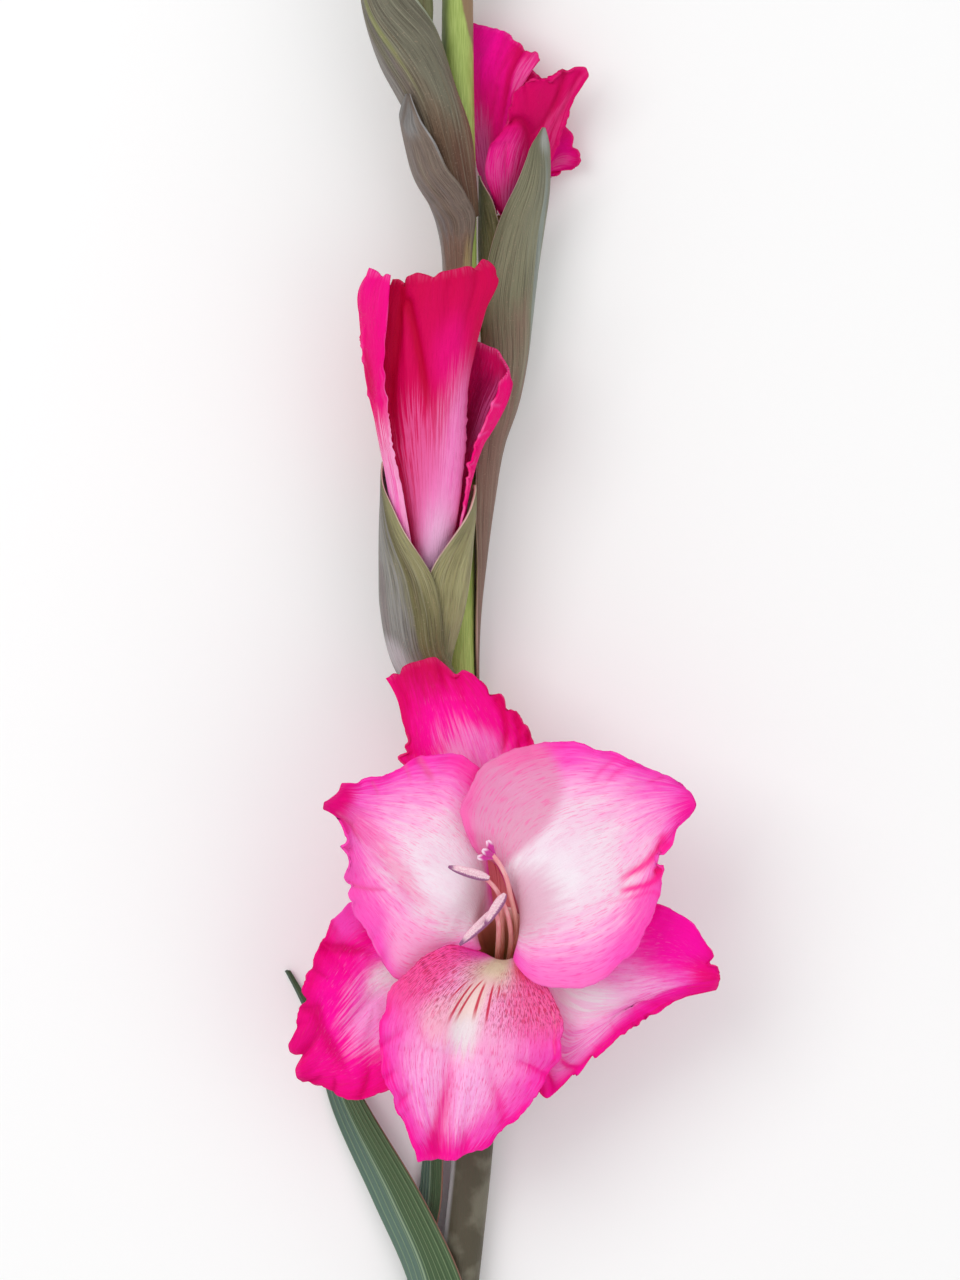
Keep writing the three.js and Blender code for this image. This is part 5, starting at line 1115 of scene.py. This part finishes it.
SIDE_PETALS = [{
    "name": "side_bloom_tepal_left",
    "height": 0.8, "scallop": 0.4, "waves": 10, "phase": 0.5, "calm": 0.75,
    "folds": [
        ([(0.64, 0.42), (0.62, 0.66), (0.56, 0.84), (0.5, 0.98)], 1.2, -1.2, 0.9),
        ([(0.3, 0.72), (0.36, 0.96)], 1, -0.7, 0.5), ([(-0.3, 0.6), (-0.2, 0.9)], 1.3, 0.6, 0),
        ([(0.1, 0.5), (0.3, 0.7)], 1, -0.6, 0.4),
    ],
    "lobes": [(0.3, 1, 1, -0.6, 0), (0.52, 1, 0.9, -0.9, 0), (0.85, 1, 1.4, 0.8, 0.8)],
    "rails": [
        [[4.2, 204.6, 6.4], [-0.3, 215.5, 5], [-3, 230, 4.8], [-4, 242.5, 5], [-2.5, 251.5, 6]],
        [[3.2, 204.6, 8.4], [2.4, 215, 9], [2, 229.5, 10.2], [3, 241.5, 11], [6.5, 248, 12]],
        [[4, 204.6, 10.6], [5, 215, 12], [7.4, 227, 14], [10.4, 235, 15.6], [14.4, 241, 16]],
    ],
}, {
    "name": "side_bloom_tepal_front",
    "height": 0.7, "scallop": 0.4, "waves": 9, "phase": 1.1, "calm": 0.75,
    "folds": [
        ([(0.2, 0.4), (-0.3, 0.56), (-0.9, 0.6)], 1.2, -1.3, 0.8),
        ([(0.1, 0.5), (0.3, 0.74), (-0.3, 0.98)], 1.1, -1, 0.8),
        ([(0.6, 0.5), (0.7, 0.75), (0.5, 0.96)], 0.9, -0.7, 0.5),
        ([(-0.4, 0.2), (-0.6, 0.42)], 0.9, -0.5, 0.4),
    ],
    "lobes": [(-0.9, 0.6, 1.2, -0.9, -0.6), (-1, 0.46, 1.6, 0.7, 0.6), (-0.86, 1, 1.3, -1.2, -0.6),
              (0.5, 1, 1.6, 0.4, 0.6)],
    "rails": [
        [[5, 204.7, 11.6], [2.8, 209, 13.2], [1.1, 215, 15.2], [2.2, 219.6, 15.8], [5.7, 224.6, 17],
         [9.5, 234.5, 18.5], [16.5, 236, 18.5]],
        [[6.8, 204.7, 12], [9.6, 214.5, 13], [13.6, 226.5, 15.2], [18, 234, 17.2], [23, 239, 18]],
        [[8.6, 204.7, 10.8], [13.4, 212.5, 8.8], [18, 219, 9.6], [21, 227, 12.5], [23.5, 232.8, 15],
         [26, 237.5, 16]],
    ],
}, {
    "name": "side_bloom_tepal_right",
    "height": 0.7, "scallop": 0.3, "waves": 8, "phase": 0.2,
    "lobes": [(-0.45, 1, 1.2, -1.8, 0), (0.3, 1, 1.2, 0.6, 0.4)],
    "rails": [
        [[9, 204.6, 8.4], [12.4, 212.5, 6.4], [17, 220, 7], [20.5, 226, 9]],
        [[8.8, 204.6, 7.2], [13.5, 212, 5], [19.5, 219, 5.6], [24.5, 219, 6.6]],
        [[8.2, 204.6, 6.4], [12, 210, 4.4], [16.5, 213.5, 3.6], [22, 215.5, 4]],
    ],
}, {
    "name": "side_bloom_tepal_back",
    "height": 0.3, "scallop": 0.3, "waves": 7, "phase": 0.9,
    "rails": [
        [[7, 204.6, 5.5], [9.4, 212, 2.2], [12, 219, 1.3], [14.5, 228, 1.2], [17, 236, 2]],
        [[6, 204.6, 5.2], [5.6, 211, 2], [6, 219, 0.8], [8, 233, 0.7], [10.5, 242, 1.5]],
        [[4.9, 204.6, 5.4], [2, 211, 2.8], [0.4, 219, 1.6], [0, 230.5, 1.5], [1, 242.5, 1.5],
         [5, 246, 3]],
    ],
}, {
    "name": "side_bloom_tepal_inner",
    "height": 0.5, "scallop": 0.3, "waves": 7, "phase": 1.7,
    "rails": [
        [[5.2, 204.6, 7.4], [2.6, 220, 7.2], [1.4, 234.5, 8], [3.5, 244, 9.2]],
        [[6, 204.6, 8.6], [6.4, 220, 9.4], [8, 233, 11.2], [11.5, 239.5, 12.2]],
        [[7, 204.6, 8.2], [10.4, 220, 9.4], [14, 229.5, 11.4], [18.5, 234, 12.6]],
    ],
}]

# The tip's axis, from the upper end of the stem.
TIP_STEPS = ((0, SEAT_GAP, 0), (-0.6, 9, 0), (-1.6, 18, -0.5))

# Closed buds: the side of the stem (1 is right), the place of the node along it, length and radius.
UPPER_BUDS = [
    {"name": "bud_third", "side": 1, "node": 258, "length": 50, "width": 3.1},
    {"name": "bud_fourth", "side": -1, "node": 279, "length": 46, "width": 2.6},
    {"name": "bud_fifth", "side": 1, "node": 310, "length": 38, "width": 2.2},
    {"name": "bud_sixth", "side": -1, "node": 330, "length": 28, "width": 1.8},
]


def stem_at(y):
    """Middle and radius of the stem at a distance y along it."""
    x, _, z, radius = (np.interp(y, [row[1] for row in STEM_ROWS], column)
                       for column in zip(*STEM_ROWS))
    return float(x), float(z), float(radius)


def upper_bud_rows(bud):
    """Axis rows of a closed bud beside the stem, and sheath rows of the bract that holds it."""
    side, node, length, width = bud["side"], bud["node"], bud["length"], bud["width"]
    outward = 0 if side > 0 else 180

    def beside(share, lean):
        y = node + share * length
        x, z, radius = stem_at(min(y, STEM_ROWS[-1][1] - 1))
        return [x + side * (radius + width + SEAT_GAP + lean), y, z + 1.5 * share]

    def clasp(share, margin):
        y = node + share * length
        x, z, radius = stem_at(y)
        radius += SEAT_GAP + BRACT_GAUGE / 2
        return [x, y, z, radius, radius, outward + margin, outward - margin]

    def wrap(share, lean, swell, margin):
        radius = width * swell + SEAT_GAP + BRACT_GAUGE
        return [*beside(share, lean), radius, radius, outward + margin, outward - margin]

    def leave(share, moved, margin):
        held = clasp(share, margin)
        free = wrap(share, 0.2, 0.95, margin)
        return [value + (goal - value) * moved for value, goal in zip(held, free)]

    core = [beside(0.3, 0.1), beside(0.5, 0.3), beside(0.75, 0), beside(1, -width)]
    bract = [
        clasp(0, 75), clasp(0.07, 80), leave(0.17, 0.3, 88), leave(0.29, 0.72, 96),
        wrap(0.42, 0.3, 0.98, 106), wrap(0.56, 0.3, 0.98, 110), wrap(0.71, 0.1, 0.8, 105),
        wrap(0.86, -0.4 * width, 0.5, 85), wrap(0.96, -0.8 * width, 0.2, 40),
    ]
    return core, bract


def spindle_profile(start, widest, rings):
    """Closed profile that swells and comes to a rounded point."""
    profile = [(0, 0)]
    for ring in range(rings + 1):
        along = ring / (rings + 1)
        swell = widest * math.sin(math.pi * along ** 0.8)
        profile.append((max(swell, start * (1 - along) ** 2, 0.05), along))
    return [*profile, (0, 1)]


# Looks of the petals: colours by distance from the middle, how closely they follow the sides and
# the tip, then spots and rays; `fold` is the colour painted along the folds as their shade, and where
# it is paler than the petal, as light on raised crinkles. A name's place in its table also sets where
# its noise starts.
OPEN_RAMP = [(0, WHITE), (0.2, "#f2d0e4"), (0.4, "#fba6da"), (0.62, "#fb7acc"), (0.82, "#fa52c2"),
             (1, "#fc24aa")]
DEEP_RAMP = [(0, "#fa96da"), (0.26, "#f73cb4"), (0.5, HOT), (1, DEEP)]
FOLDED_RAMP = [(0, CRIMSON), (0.5, CRIMSON), (1, "#ce004c")]
SIDE_RAMP = [(0, "#e80076"), (0.5, "#f4008c"), (1, "#e2006e")]

PETAL_LOOKS = {
    "tepal_upper_right": {
        "ramp": OPEN_RAMP, "reach": (2.3, 3.6), "fold": "#fc1896",
        "spots": [
            # The first spot paints the shade on the left lobe that hoods the throat, with a sharp edge.
            (-0.85, 0.4, 0.62, 0.27, PAINTED_SHADE_PINK, 0.85, 0.3), (-1, 0.3, 0.2, 0.3, "#fa60b0", 0.8, 1),
            # The two muted pinks at the root, #e2acc4 and #e49cb6, are painted shade toward the throat.
            (-0.98, 0.58, 0.3, 0.14, "#f460a8", 0.7, 1), (0.1, 0.2, 0.7, 0.26, "#e2acc4", 0.85, 0.8),
            # The red brown spot at the root of the left lobe is the throat wall's own red, darkened as
            # painted shade.
            (0.1, 0, 1.8, 0.2, "#e49cb6", 0.8, 1), (-0.74, 0.08, 0.42, 0.32, "#c45c6a", 1, 1),
            (0.9, 0.66, 0.6, 0.3, "#f850b4", 0.8, 1), (1, 0.3, 0.5, 0.3, "#fa80c6", 0.7, 1),
            (0.3, 1.02, 1.2, 0.2, HOT, 0.9, 1),
        ],
    },
    "tepal_upper_left": {
        "ramp": OPEN_RAMP, "reach": (2.2, 2.8), "fold": "#ec5ca0",
        "spots": [
            (-0.9, 0.66, 0.75, 0.4, "#fa5abc", 0.9, 1), (-0.75, 0.34, 0.4, 0.2, "#faa8d4", 0.8, 1),
            # The muted pink at the root, #dea0b6, is painted shade toward the throat.
            (0.98, 0.5, 0.34, 0.22, "#fe329e", 0.8, 1), (0, 0, 1.8, 0.18, "#dea0b6", 0.8, 1),
            (0, 1.02, 1.8, 0.18, "#ec007c", 1, 0.7),
        ],
    },
    "tepal_lip": {
        "ramp": [(0, "#f8b2d4"), (0.3, "#fa92d0"), (0.58, "#f964c0"), (0.85, "#f942b6"), (1, HOT)],
        "reach": (2, 3.2), "marks": lip_marks, "fold": "#f20c92",
        "spots": [
            (0.9, 0.3, 0.75, 0.32, "#f65496", 0.85, 1), (-0.85, 0.26, 0.8, 0.3, "#f468a0", 0.85, 1),
            (-0.1, 0.7, 0.6, 0.26, "#fba8e2", 0.8, 1), (0.45, 0.74, 0.4, 0.24, "#fa8cda", 0.6, 1),
            (0.3, 0.4, 0.45, 0.2, "#f7b0c8", 0.8, 1), (-0.02, 0.4, 0.3, 0.26, "#eedee4", 1, 0.9),
            (0.2, 1.02, 1.5, 0.2, HOT, 0.9, 1), (-0.8, 0.08, 0.5, 0.14, "#ec4070", 0.9, 1),
            (0.05, 0.26, 0.4, 0.18, "#f4d6d0", 0.9, 1),
        ],
        "rays": [(0.1, 0.68, 0.9, 0.36, "#fbb8e6", 0.6)],
        "threads": 0.55, "thread": "#ec1880",
    },
    "tepal_lower_right": {
        "ramp": [(0, "#faaade"), (0.26, "#f97cce"), (0.46, "#f854be"), (0.7, "#fb12a4"),
                 (1, "#f2027c")],
        "reach": (1.5, 3.4),
        "spots": [
            (0.05, 0.34, 0.34, 0.34, WHITE, 1, 1), (-0.72, 0.7, 0.85, 0.34, "#fe02a6", 1, 0.9),
            (-0.3, 0.96, 0.7, 0.24, "#f00070", 0.9, 1), (0.02, 0.68, 0.16, 0.2, "#fa8cd6", 0.9, 1),
            (0.6, 0.5, 0.42, 0.3, "#f980cc", 0.8, 1),
        ],
        "rays": [(0.2, 0.5, 0.7, 0.4, "#fbbee6", 0.6)],
    },
    "tepal_lower_left": {
        "ramp": DEEP_RAMP, "reach": (1.4, 2.8), "fold": "#d60068",
        "spots": [
            (0.08, 0.4, 0.36, 0.2, WHITE, 1, 0.9), (-0.2, 0.52, 0.5, 0.26, "#fb96dc", 0.9, 1),
            (0.9, 0.47, 0.42, 0.16, "#f748be", 0.9, 1), (0.4, 0.7, 0.6, 0.2, "#fe02a0", 0.8, 1),
            (0.5, 0.9, 0.3, 0.2, "#e20078", 0.7, 1),
        ],
        "rays": [(-0.1, 0.56, 0.75, 0.3, "#fba6de", 0.55)],
    },
    "tepal_top": {
        "ramp": [(0, "#fb82d2"), (0.3, "#f946ba"), (0.5, HOT), (1, DEEP)],
        "reach": (2, 2.4), "marks": throat_wall, "fold": "#de0064",
        "spots": [
            (0, 0.56, 0.6, 0.16, "#fbb2e0", 0.9, 1), (0.35, 0.62, 0.6, 0.18, "#fa74cc", 0.9, 1),
            (-0.2, 1.02, 1.4, 0.3, "#ce0050", 1, 1), (-1, 0.8, 0.3, 0.3, "#dc0060", 0.9, 1),
            (1, 0.84, 0.25, 0.3, "#d6005c", 0.9, 1),
        ],
        "rays": [(0.05, 0.58, 0.8, 0.3, "#faa0d7", 0.5)],
    },
    "half_open_tepal_front": {
        "ramp": FOLDED_RAMP, "reach": (3, 5), "fold": "#c00036", "cloud": 0.6,
        "ragged": 0.3,
        "thread": "#ba0046", "threads": 0.3, "light": 0,
        "spots": [
            (0.2, 0.14, 1.75, 0.62, "#f382c4", 1, 1), (0.7, 0.44, 1, 0.42, "#f576c0", 1, 1),
            (0.25, 0.12, 1.5, 0.34, "#f2b4dc", 1, 1), (0.25, 0.74, 0.75, 0.22, "#e8067a", 0.85, 1),
            # The dark crimson spot on the left, #c4003e, is painted shadow in the valley under the left
            # petal's rolled margin.
            (-0.85, 0.84, 0.2, 0.3, "#c4003e", 0.6, 1), (0.2, 0.04, 0.09, 0.03, "#960032", 1, 0.5),
        ],
        "rays": [(0.5, 0.5, 0.9, 0.34, "#f8a0d6", 0.4),
                 (-0.4, 0.42, 0.8, 0.36, "#f678be", 0.45)],
    },
    "half_open_tepal_left": {
        "ramp": [(0, "#ea0070"), (0.6, "#ee007c"), (1, "#f00084")],
        "reach": (3, 5), "fold": "#f8469c", "rim": 0.4,
        "thread": "#c8005a", "light": 0,
        "spots": [
            (0.5, 0.18, 1.4, 0.42, "#f76cbc", 1, 0.8), (1, 0.3, 0.3, 0.5, "#faaad6", 0.8, 1),
            (0.4, 0.68, 0.5, 0.14, "#ce0050", 0.8, 1),
        ],
        "rays": [(0.6, 0.42, 0.9, 0.24, "#fab2dc", 0.7)],
    },
    "half_open_tepal_right": {
        "ramp": [(0, "#a0004e"), (0.6, "#aa0050"), (1, "#d60064")],
        "reach": (3, 5), "fold": "#f84ca0", "light": 0,
        "thread": "#de4696", "rim": 0.5,
        "spots": [
            (-1, 0.7, 0.85, 0.6, "#f00074", 1, 0.6), (-0.1, 0.34, 1.6, 0.42, "#ee087a", 1, 0.5),
            (0.4, 0.98, 0.9, 0.16, "#e20064", 0.8, 1),
        ],
        "rays": [(0.3, 0.72, 0.5, 0.3, "#dc5aa0", 0.7)],
    },
    "half_open_tepal_back": {"ramp": FOLDED_RAMP},
    "half_open_tepal_core_left": {"ramp": FOLDED_RAMP},
    "half_open_tepal_core_right": {"ramp": FOLDED_RAMP},
    "side_bloom_tepal_left": {
        "ramp": SIDE_RAMP, "fold": "#d2005a", "thread": "#d2006e",
        "light": 0,
        "spots": [
            (-0.5, 0.1, 1.6, 0.62, "#bc2874", 1, 0.8), (-0.4, 0.92, 1.1, 0.4, "#fe029c", 1, 1),
            (0.9, 0.88, 0.34, 0.18, "#f03292", 0.8, 0.8),
        ],
        "rays": [(-0.3, 0.36, 0.9, 0.34, "#e268aa", 0.6),
                 (0.9, 0.86, 0.4, 0.2, "#fa78be", 0.4)],
    },
    "side_bloom_tepal_front": {
        "ramp": [(0, "#d0005c"), (0.5, "#d40060"), (1, "#e4006c")],
        "fold": "#c40050", "thread": "#ce0060", "threads": 0.25, "light": 0,
        "spots": [
            (-0.7, 0.34, 0.8, 0.34, "#fc1092", 1, 0.9), (0.2, 0.06, 1.4, 0.26, "#c43c78", 0.9, 0.9),
            (0.7, 0.84, 0.2, 0.3, "#ea3886", 0.6, 1),
        ],
        "rays": [(-0.5, 0.26, 0.9, 0.36, "#f678ba", 0.35),
                 (0.6, 0.6, 0.5, 0.4, "#ee549c", 0.35)],
    },
    "side_bloom_tepal_right": {
        "ramp": SIDE_RAMP, "light": 0,
        "rays": [(0.3, 0.8, 0.6, 0.24, "#f65aa0", 0.7)],
    },
    "side_bloom_tepal_back": {"ramp": SIDE_RAMP},
    "side_bloom_tepal_inner": {"ramp": SIDE_RAMP},
}

GREY_PURPLE = "#706862"
MOSS = "#74744e"
OLIVE = "#6c6642"
MAUVE = "#8a645a"
FRESH = "#929656"

# Looks of the bracts. The colours left and right meet over `turn`, counted across; the foot's colour
# and the pale margin fade in over `foot_reach` and `margin`, counted along; `wax` is how far to the
# right the waxy bloom and its painted highlight reach, `brown` how strong the brown streaks are, and
# `rim` where the margin begins.
BRACT_LOOKS = {
    "open_bloom_bract_outer": {"left": GREY_PURPLE, "right": MOSS, "foot": MAUVE},
    "open_bloom_bract_inner": {"left": MOSS, "right": FRESH, "foot": MOSS},
    "half_open_bract_outer": {
        "left": GREY_PURPLE, "right": OLIVE, "foot": "#705442",
        "turn": (0.62, 0.24), "foot_reach": (0.3, 0.02), "wax": 0.6, "margin": (0.6, 0.75),
        "spots": [
            # The pale spot low on the left, #bab2b6, is a painted highlight.
            (0.05, 0.5, 0.22, 0.3, "#7a6a6c", 0.6), (0.05, 0.33, 0.5, 0.1, "#bab2b6", 0.9),
            (0.9, 0.72, 0.3, 0.35, "#9c966a", 0.8),
        ],
    },
    "half_open_bract_inner": {
        "left": "#948e62", "right": "#aaa674", "foot": MOSS, "wax": -2, "brown": 0.3,
        "spots": [(-0.3, 0.6, 0.25, 0.4, "#a8a474", 0.8)],
    },
    "side_bloom_bract_outer": {
        "left": "#7e7c62", "right": "#888c7c", "foot": MAUVE,
        "foot_reach": (0.66, 0.46), "wax": -2, "brown": 0.3,
        "spots": [(0.05, 0.76, 0.18, 0.4, "#909a94", 0.8), (0.1, 1, 1.2, 0.07, "#babcb8", 0.8)],
    },
    "side_bloom_bract_inner": {"left": MOSS, "right": OLIVE, "foot": MOSS},
    "left_bud_bract_long": {
        "left": GREY_PURPLE, "right": "#6c6958", "foot": "#70503c",
        "foot_reach": (0.48, 0.16), "turn": (0.15, -0.1), "margin": (0.42, 0.56), "wax": -0.1,
        "rim": 0.93, "edge": "#b0b8a2",
        "spots": [
            (0.16, 0.66, 0.08, 0.42, "#888c4e", 0.7), (0.6, 0.82, 0.3, 0.3, "#6c7454", 0.7),
            (0.5, 0.14, 0.3, 0.2, "#5c3a2c", 0.8),
        ],
    },
    "left_bud_bract_short": {
        "left": "#7a706e", "right": "#7a6a60", "foot": "#80604e",
        # The pale margin here, #acacae, is a painted highlight along the hooked tip's edge.
        "margin": (0.64, 0.82), "wax": -0.2, "rim": 0.93, "edge": "#acacae",
        "brown": 0.25, "foot_reach": (0.42, 0.2),
        # The pale grey band along the top, #929496, is a painted highlight on the hooked crest.
        "spots": [(0.75, 0.1, 0.35, 0.35, "#a69464", 0.8), (0.4, 0.9, 0.7, 0.14, "#929496", 0.6)],
    },
    "left_bud_bract_green": {"left": MOSS, "right": "#5c643e", "foot": MOSS},
    "upper_bud_bract": {"left": GREY_PURPLE, "right": MOSS, "foot": MAUVE},
    "upper_bud_core": {"left": MOSS, "right": "#9ca66a", "foot": MOSS, "brown": 0.2},
}


# Pieces.


def petal_pieces(petals, slot, columns, rows):
    settings = bpy.context.scene.gladiolus_petals
    for petal in petals:
        node = petal["name"]
        surface = frilled(surface_through(petal["rails"]), petal, settings.frill)
        finish = petal_finish(node, settings)
        finished(sheet(surface, columns, rows), node, finish, settings.thickness)


def anther_section(angle, along):
    """Two lobes with a groove between them, flatter than wide."""
    groove = np.exp(-((angle - math.pi / 2) / 0.3) ** 2)
    return 1 - 0.3 * np.sin(angle) ** 2 - 0.3 * groove


def lobe_section(angle, along):
    return 1 - 0.55 * np.sin(angle) ** 2


class GLADIOLUS_OT_stem(bpy.types.Operator):
    """Adds the stem, flat where it lies on the surface"""
    bl_idname = "gladiolus.stem"
    bl_label = "Stem"

    def execute(self, context):
        colour = tuple(context.scene.gladiolus_greens.stem_colour)
        places = np.linspace(0, 1, STEM_RINGS)
        profile = [(0, 0), *zip(rail(STEM_ROWS)(places)[:, 3], places), (0, 1)]
        stem = turned(STEM_ROWS, profile, sides=40)
        for v in stem.verts:
            v.co.z = max(v.co.z, 0.0)
        finished(stem, "stem", stem_finish("stem", colour))
        return {"FINISHED"}


class GLADIOLUS_OT_leaves(bpy.types.Operator):
    """Adds the two sword leaves"""
    bl_idname = "gladiolus.leaves"
    bl_label = "Leaves"

    def execute(self, context):
        settings = context.scene.gladiolus_greens
        finish = leaf_finish("leaf", tuple(settings.leaf_colour))
        for node, rails in (("leaf_front", FRONT_LEAF_RAILS), ("leaf_back", BACK_LEAF_RAILS)):
            leaf = sheet(surface_through(rails), *LEAF_GRID)
            finished(leaf, node, finish, settings.leaf_thickness)
        return {"FINISHED"}


class GLADIOLUS_OT_open_bloom(bpy.types.Operator):
    """Adds the six petals and the tube of the open bloom"""
    bl_idname = "gladiolus.open_bloom"
    bl_label = "Open Bloom"

    def execute(self, context):
        petal_pieces(OPEN_PETALS, "open_petal", *OPEN_PETAL_GRID)
        tube = turned(OPEN_TUBE_AXIS, OPEN_TUBE_PROFILE, sides=36)
        finished(tube, "open_bloom_tube", tube_finish("open_bloom_tube"))
        return {"FINISHED"}


class GLADIOLUS_OT_stamens(bpy.types.Operator):
    """Adds the three stamens and the style of the open bloom"""
    bl_idname = "gladiolus.stamens"
    bl_label = "Stamens and Style"

    def execute(self, context):
        thread = thread_finish("filament")
        pollen = anther_finish("anther")
        for node, rows in FILAMENTS.items():
            profile = even_profile(FILAMENT_RADII, rings=24)
            filament = turned(rows, profile, sides=14, hint=UP_THE_SPIKE)
            finished(filament, node, thread)
        for node, rows in ANTHERS.items():
            profile = even_profile(ANTHER_RADII, rings=30)
            anther = turned(rows, profile, sides=24, section=anther_section)
            finished(anther, node, pollen)
        profile = even_profile(STYLE_RADII, rings=30)
        shaft = turned(STYLE_ROWS, profile, sides=14, hint=UP_THE_SPIKE)
        finished(shaft, "style", thread)
        profile = even_profile(STIGMA_RADII, rings=16)
        lobes = [turned(rows, profile, sides=14, section=lobe_section) for rows in STIGMA_LOBES]
        finished(joined(lobes), "style", stigma_finish("stigma"), name="stigma_dressed")
        return {"FINISHED"}


class GLADIOLUS_OT_folded_blooms(bpy.types.Operator):
    """Adds the half-open bloom and the bloom seen from the side"""
    bl_idname = "gladiolus.folded_blooms"
    bl_label = "Folded Blooms"

    def execute(self, context):
        petal_pieces(HALF_OPEN_PETALS, "folded_petal", *HALF_OPEN_PETAL_GRID)
        petal_pieces(SIDE_PETALS, "folded_petal", *SIDE_PETAL_GRID)
        finish = tube_finish("folded_tube")
        profile = even_profile(HALF_OPEN_TUBE_RADII, rings=12)
        half_open = turned(HALF_OPEN_TUBE_AXIS, profile, sides=24)
        finished(half_open, "half_open_tube", finish)
        profile = even_profile(SIDE_TUBE_RADII, rings=20)
        side = turned(SIDE_TUBE_AXIS, profile, sides=24)
        finished(side, "side_bloom_tube", finish)
        return {"FINISHED"}


class GLADIOLUS_OT_bracts(bpy.types.Operator):
    """Adds the bracts that wrap the three blooms and the long bud"""
    bl_idname = "gladiolus.bracts"
    bl_label = "Bracts"

    def execute(self, context):
        settings = context.scene.gladiolus_greens
        for node, rows in BRACTS.items():
            finish = wrapped_finish(node, tuple(settings.wax_and_highlight_colour))
            bract = sheet(sheath(rows), *BRACT_GRID)
            finished(bract, node, finish, settings.bract_thickness)
        return {"FINISHED"}


class GLADIOLUS_OT_upper_buds(bpy.types.Operator):
    """Adds the closed buds and the tip of the spike"""
    bl_idname = "gladiolus.upper_buds"
    bl_label = "Upper Buds"

    def execute(self, context):
        settings = context.scene.gladiolus_greens
        green, core = (wrapped_finish(name, tuple(settings.wax_and_highlight_colour))
                       for name in ("upper_bud_bract", "upper_bud_core"))
        for bud in UPPER_BUDS:
            core_rows, bract_rows = upper_bud_rows(bud)
            profile = spindle_profile(0.3 * bud["width"], bud["width"], rings=24)
            body = turned(core_rows, profile, sides=24)
            finished(body, f"{bud['name']}_core", core)
            bract = sheet(sheath(bract_rows), *UPPER_BRACT_GRID)
            finished(bract, f"{bud['name']}_bract", green, settings.bract_thickness)
        rows = [[end + step for end, step in zip(STEM_ROWS[-1], steps)] for steps in TIP_STEPS]
        tip = turned(rows, spindle_profile(*TIP_RADII, rings=24), sides=20)
        finished(tip, "spike_tip", core)
        return {"FINISHED"}


class GLADIOLUS_OT_stage(bpy.types.Operator):
    """Adds the floor, the soft lights and the camera"""
    bl_idname = "gladiolus.stage"
    bl_label = "Stage"

    def execute(self, context):
        settings = context.scene.gladiolus_stage
        ground = bmesh.new()
        bmesh.ops.create_grid(ground, x_segments=1, y_segments=1, size=FLOOR_HALF_SIZE)
        bmesh.ops.translate(ground, verts=ground.verts, vec=(0, 0, -FLOOR_GAP))
        finish = Finish("floor", roughness=0.9, specular=0.1)
        finish.shader.inputs["Base Color"].default_value = (*settings.floor_colour, 1)
        floor = shown(ground, "floor", finish.material)

        world = bpy.data.worlds.new("studio")
        world.use_nodes = True
        background = world.node_tree.nodes["Background"]
        background.inputs["Color"].default_value = (1, 1, 1, 1)
        background.inputs["Strength"].default_value = settings.sky
        context.scene.world = world

        for name, share, size, place in LIGHTS:
            self.add_light(context, name, settings.window * share, size, place)

        camera_data = bpy.data.cameras.new("camera")
        camera_data.lens = CAMERA_LENS
        camera_data.sensor_width = CAMERA_SENSOR
        camera_data.clip_end = CAMERA_REACH
        camera = bpy.data.objects.new("camera", camera_data)
        camera.location = CAMERA_PLACE
        context.scene.collection.objects.link(camera)
        context.scene.camera = camera
        context.scene.view_settings.view_transform = "Standard"
        return {"FINISHED"}

    def add_light(self, context, name, power, size, place):
        data = bpy.data.lights.new(name, "AREA")
        data.energy = power
        data.size = size
        light = bpy.data.objects.new(name, data)
        light.location = place
        turn = (Vector(LIT_PLACE) - light.location).to_track_quat("-Z", "Y")
        light.rotation_euler = turn.to_euler()
        context.scene.collection.objects.link(light)


class GLADIOLUS_PT_panel(bpy.types.Panel):
    """Sidebar panel with the pieces of the spike and their settings"""
    bl_idname = "GLADIOLUS_PT_panel"
    bl_label = "Gladiolus Spike"
    bl_space_type = "VIEW_3D"
    bl_region_type = "UI"
    bl_category = "Gladiolus"

    def draw(self, context):
        for name in SETTINGS:
            box = self.layout.box()
            group = getattr(context.scene, name)
            for setting in group.__annotations__:
                box.prop(group, setting)
        for operator in PIECES:
            self.layout.operator(operator.bl_idname)


SETTINGS = {
    "gladiolus_petals": PetalSettings,
    "gladiolus_greens": GreenSettings,
    "gladiolus_stage": StageSettings,
}
PIECES = (
    GLADIOLUS_OT_stem,
    GLADIOLUS_OT_leaves,
    GLADIOLUS_OT_open_bloom,
    GLADIOLUS_OT_stamens,
    GLADIOLUS_OT_folded_blooms,
    GLADIOLUS_OT_bracts,
    GLADIOLUS_OT_upper_buds,
    GLADIOLUS_OT_stage,
)
CLASSES = (*SETTINGS.values(), *PIECES, GLADIOLUS_PT_panel)


def register():
    for cls in CLASSES:
        bpy.utils.register_class(cls)
    for name, group in SETTINGS.items():
        setattr(bpy.types.Scene, name, PointerProperty(type=group))


def unregister():
    for name in SETTINGS:
        delattr(bpy.types.Scene, name)
    for cls in reversed(CLASSES):
        bpy.utils.unregister_class(cls)


def main():
    register()
    bpy.ops.gladiolus.stem()
    bpy.ops.gladiolus.leaves()
    bpy.ops.gladiolus.open_bloom()
    bpy.ops.gladiolus.stamens()
    bpy.ops.gladiolus.folded_blooms()
    bpy.ops.gladiolus.bracts()
    bpy.ops.gladiolus.upper_buds()
    bpy.ops.gladiolus.stage()


if __name__ == "__main__":
    main()
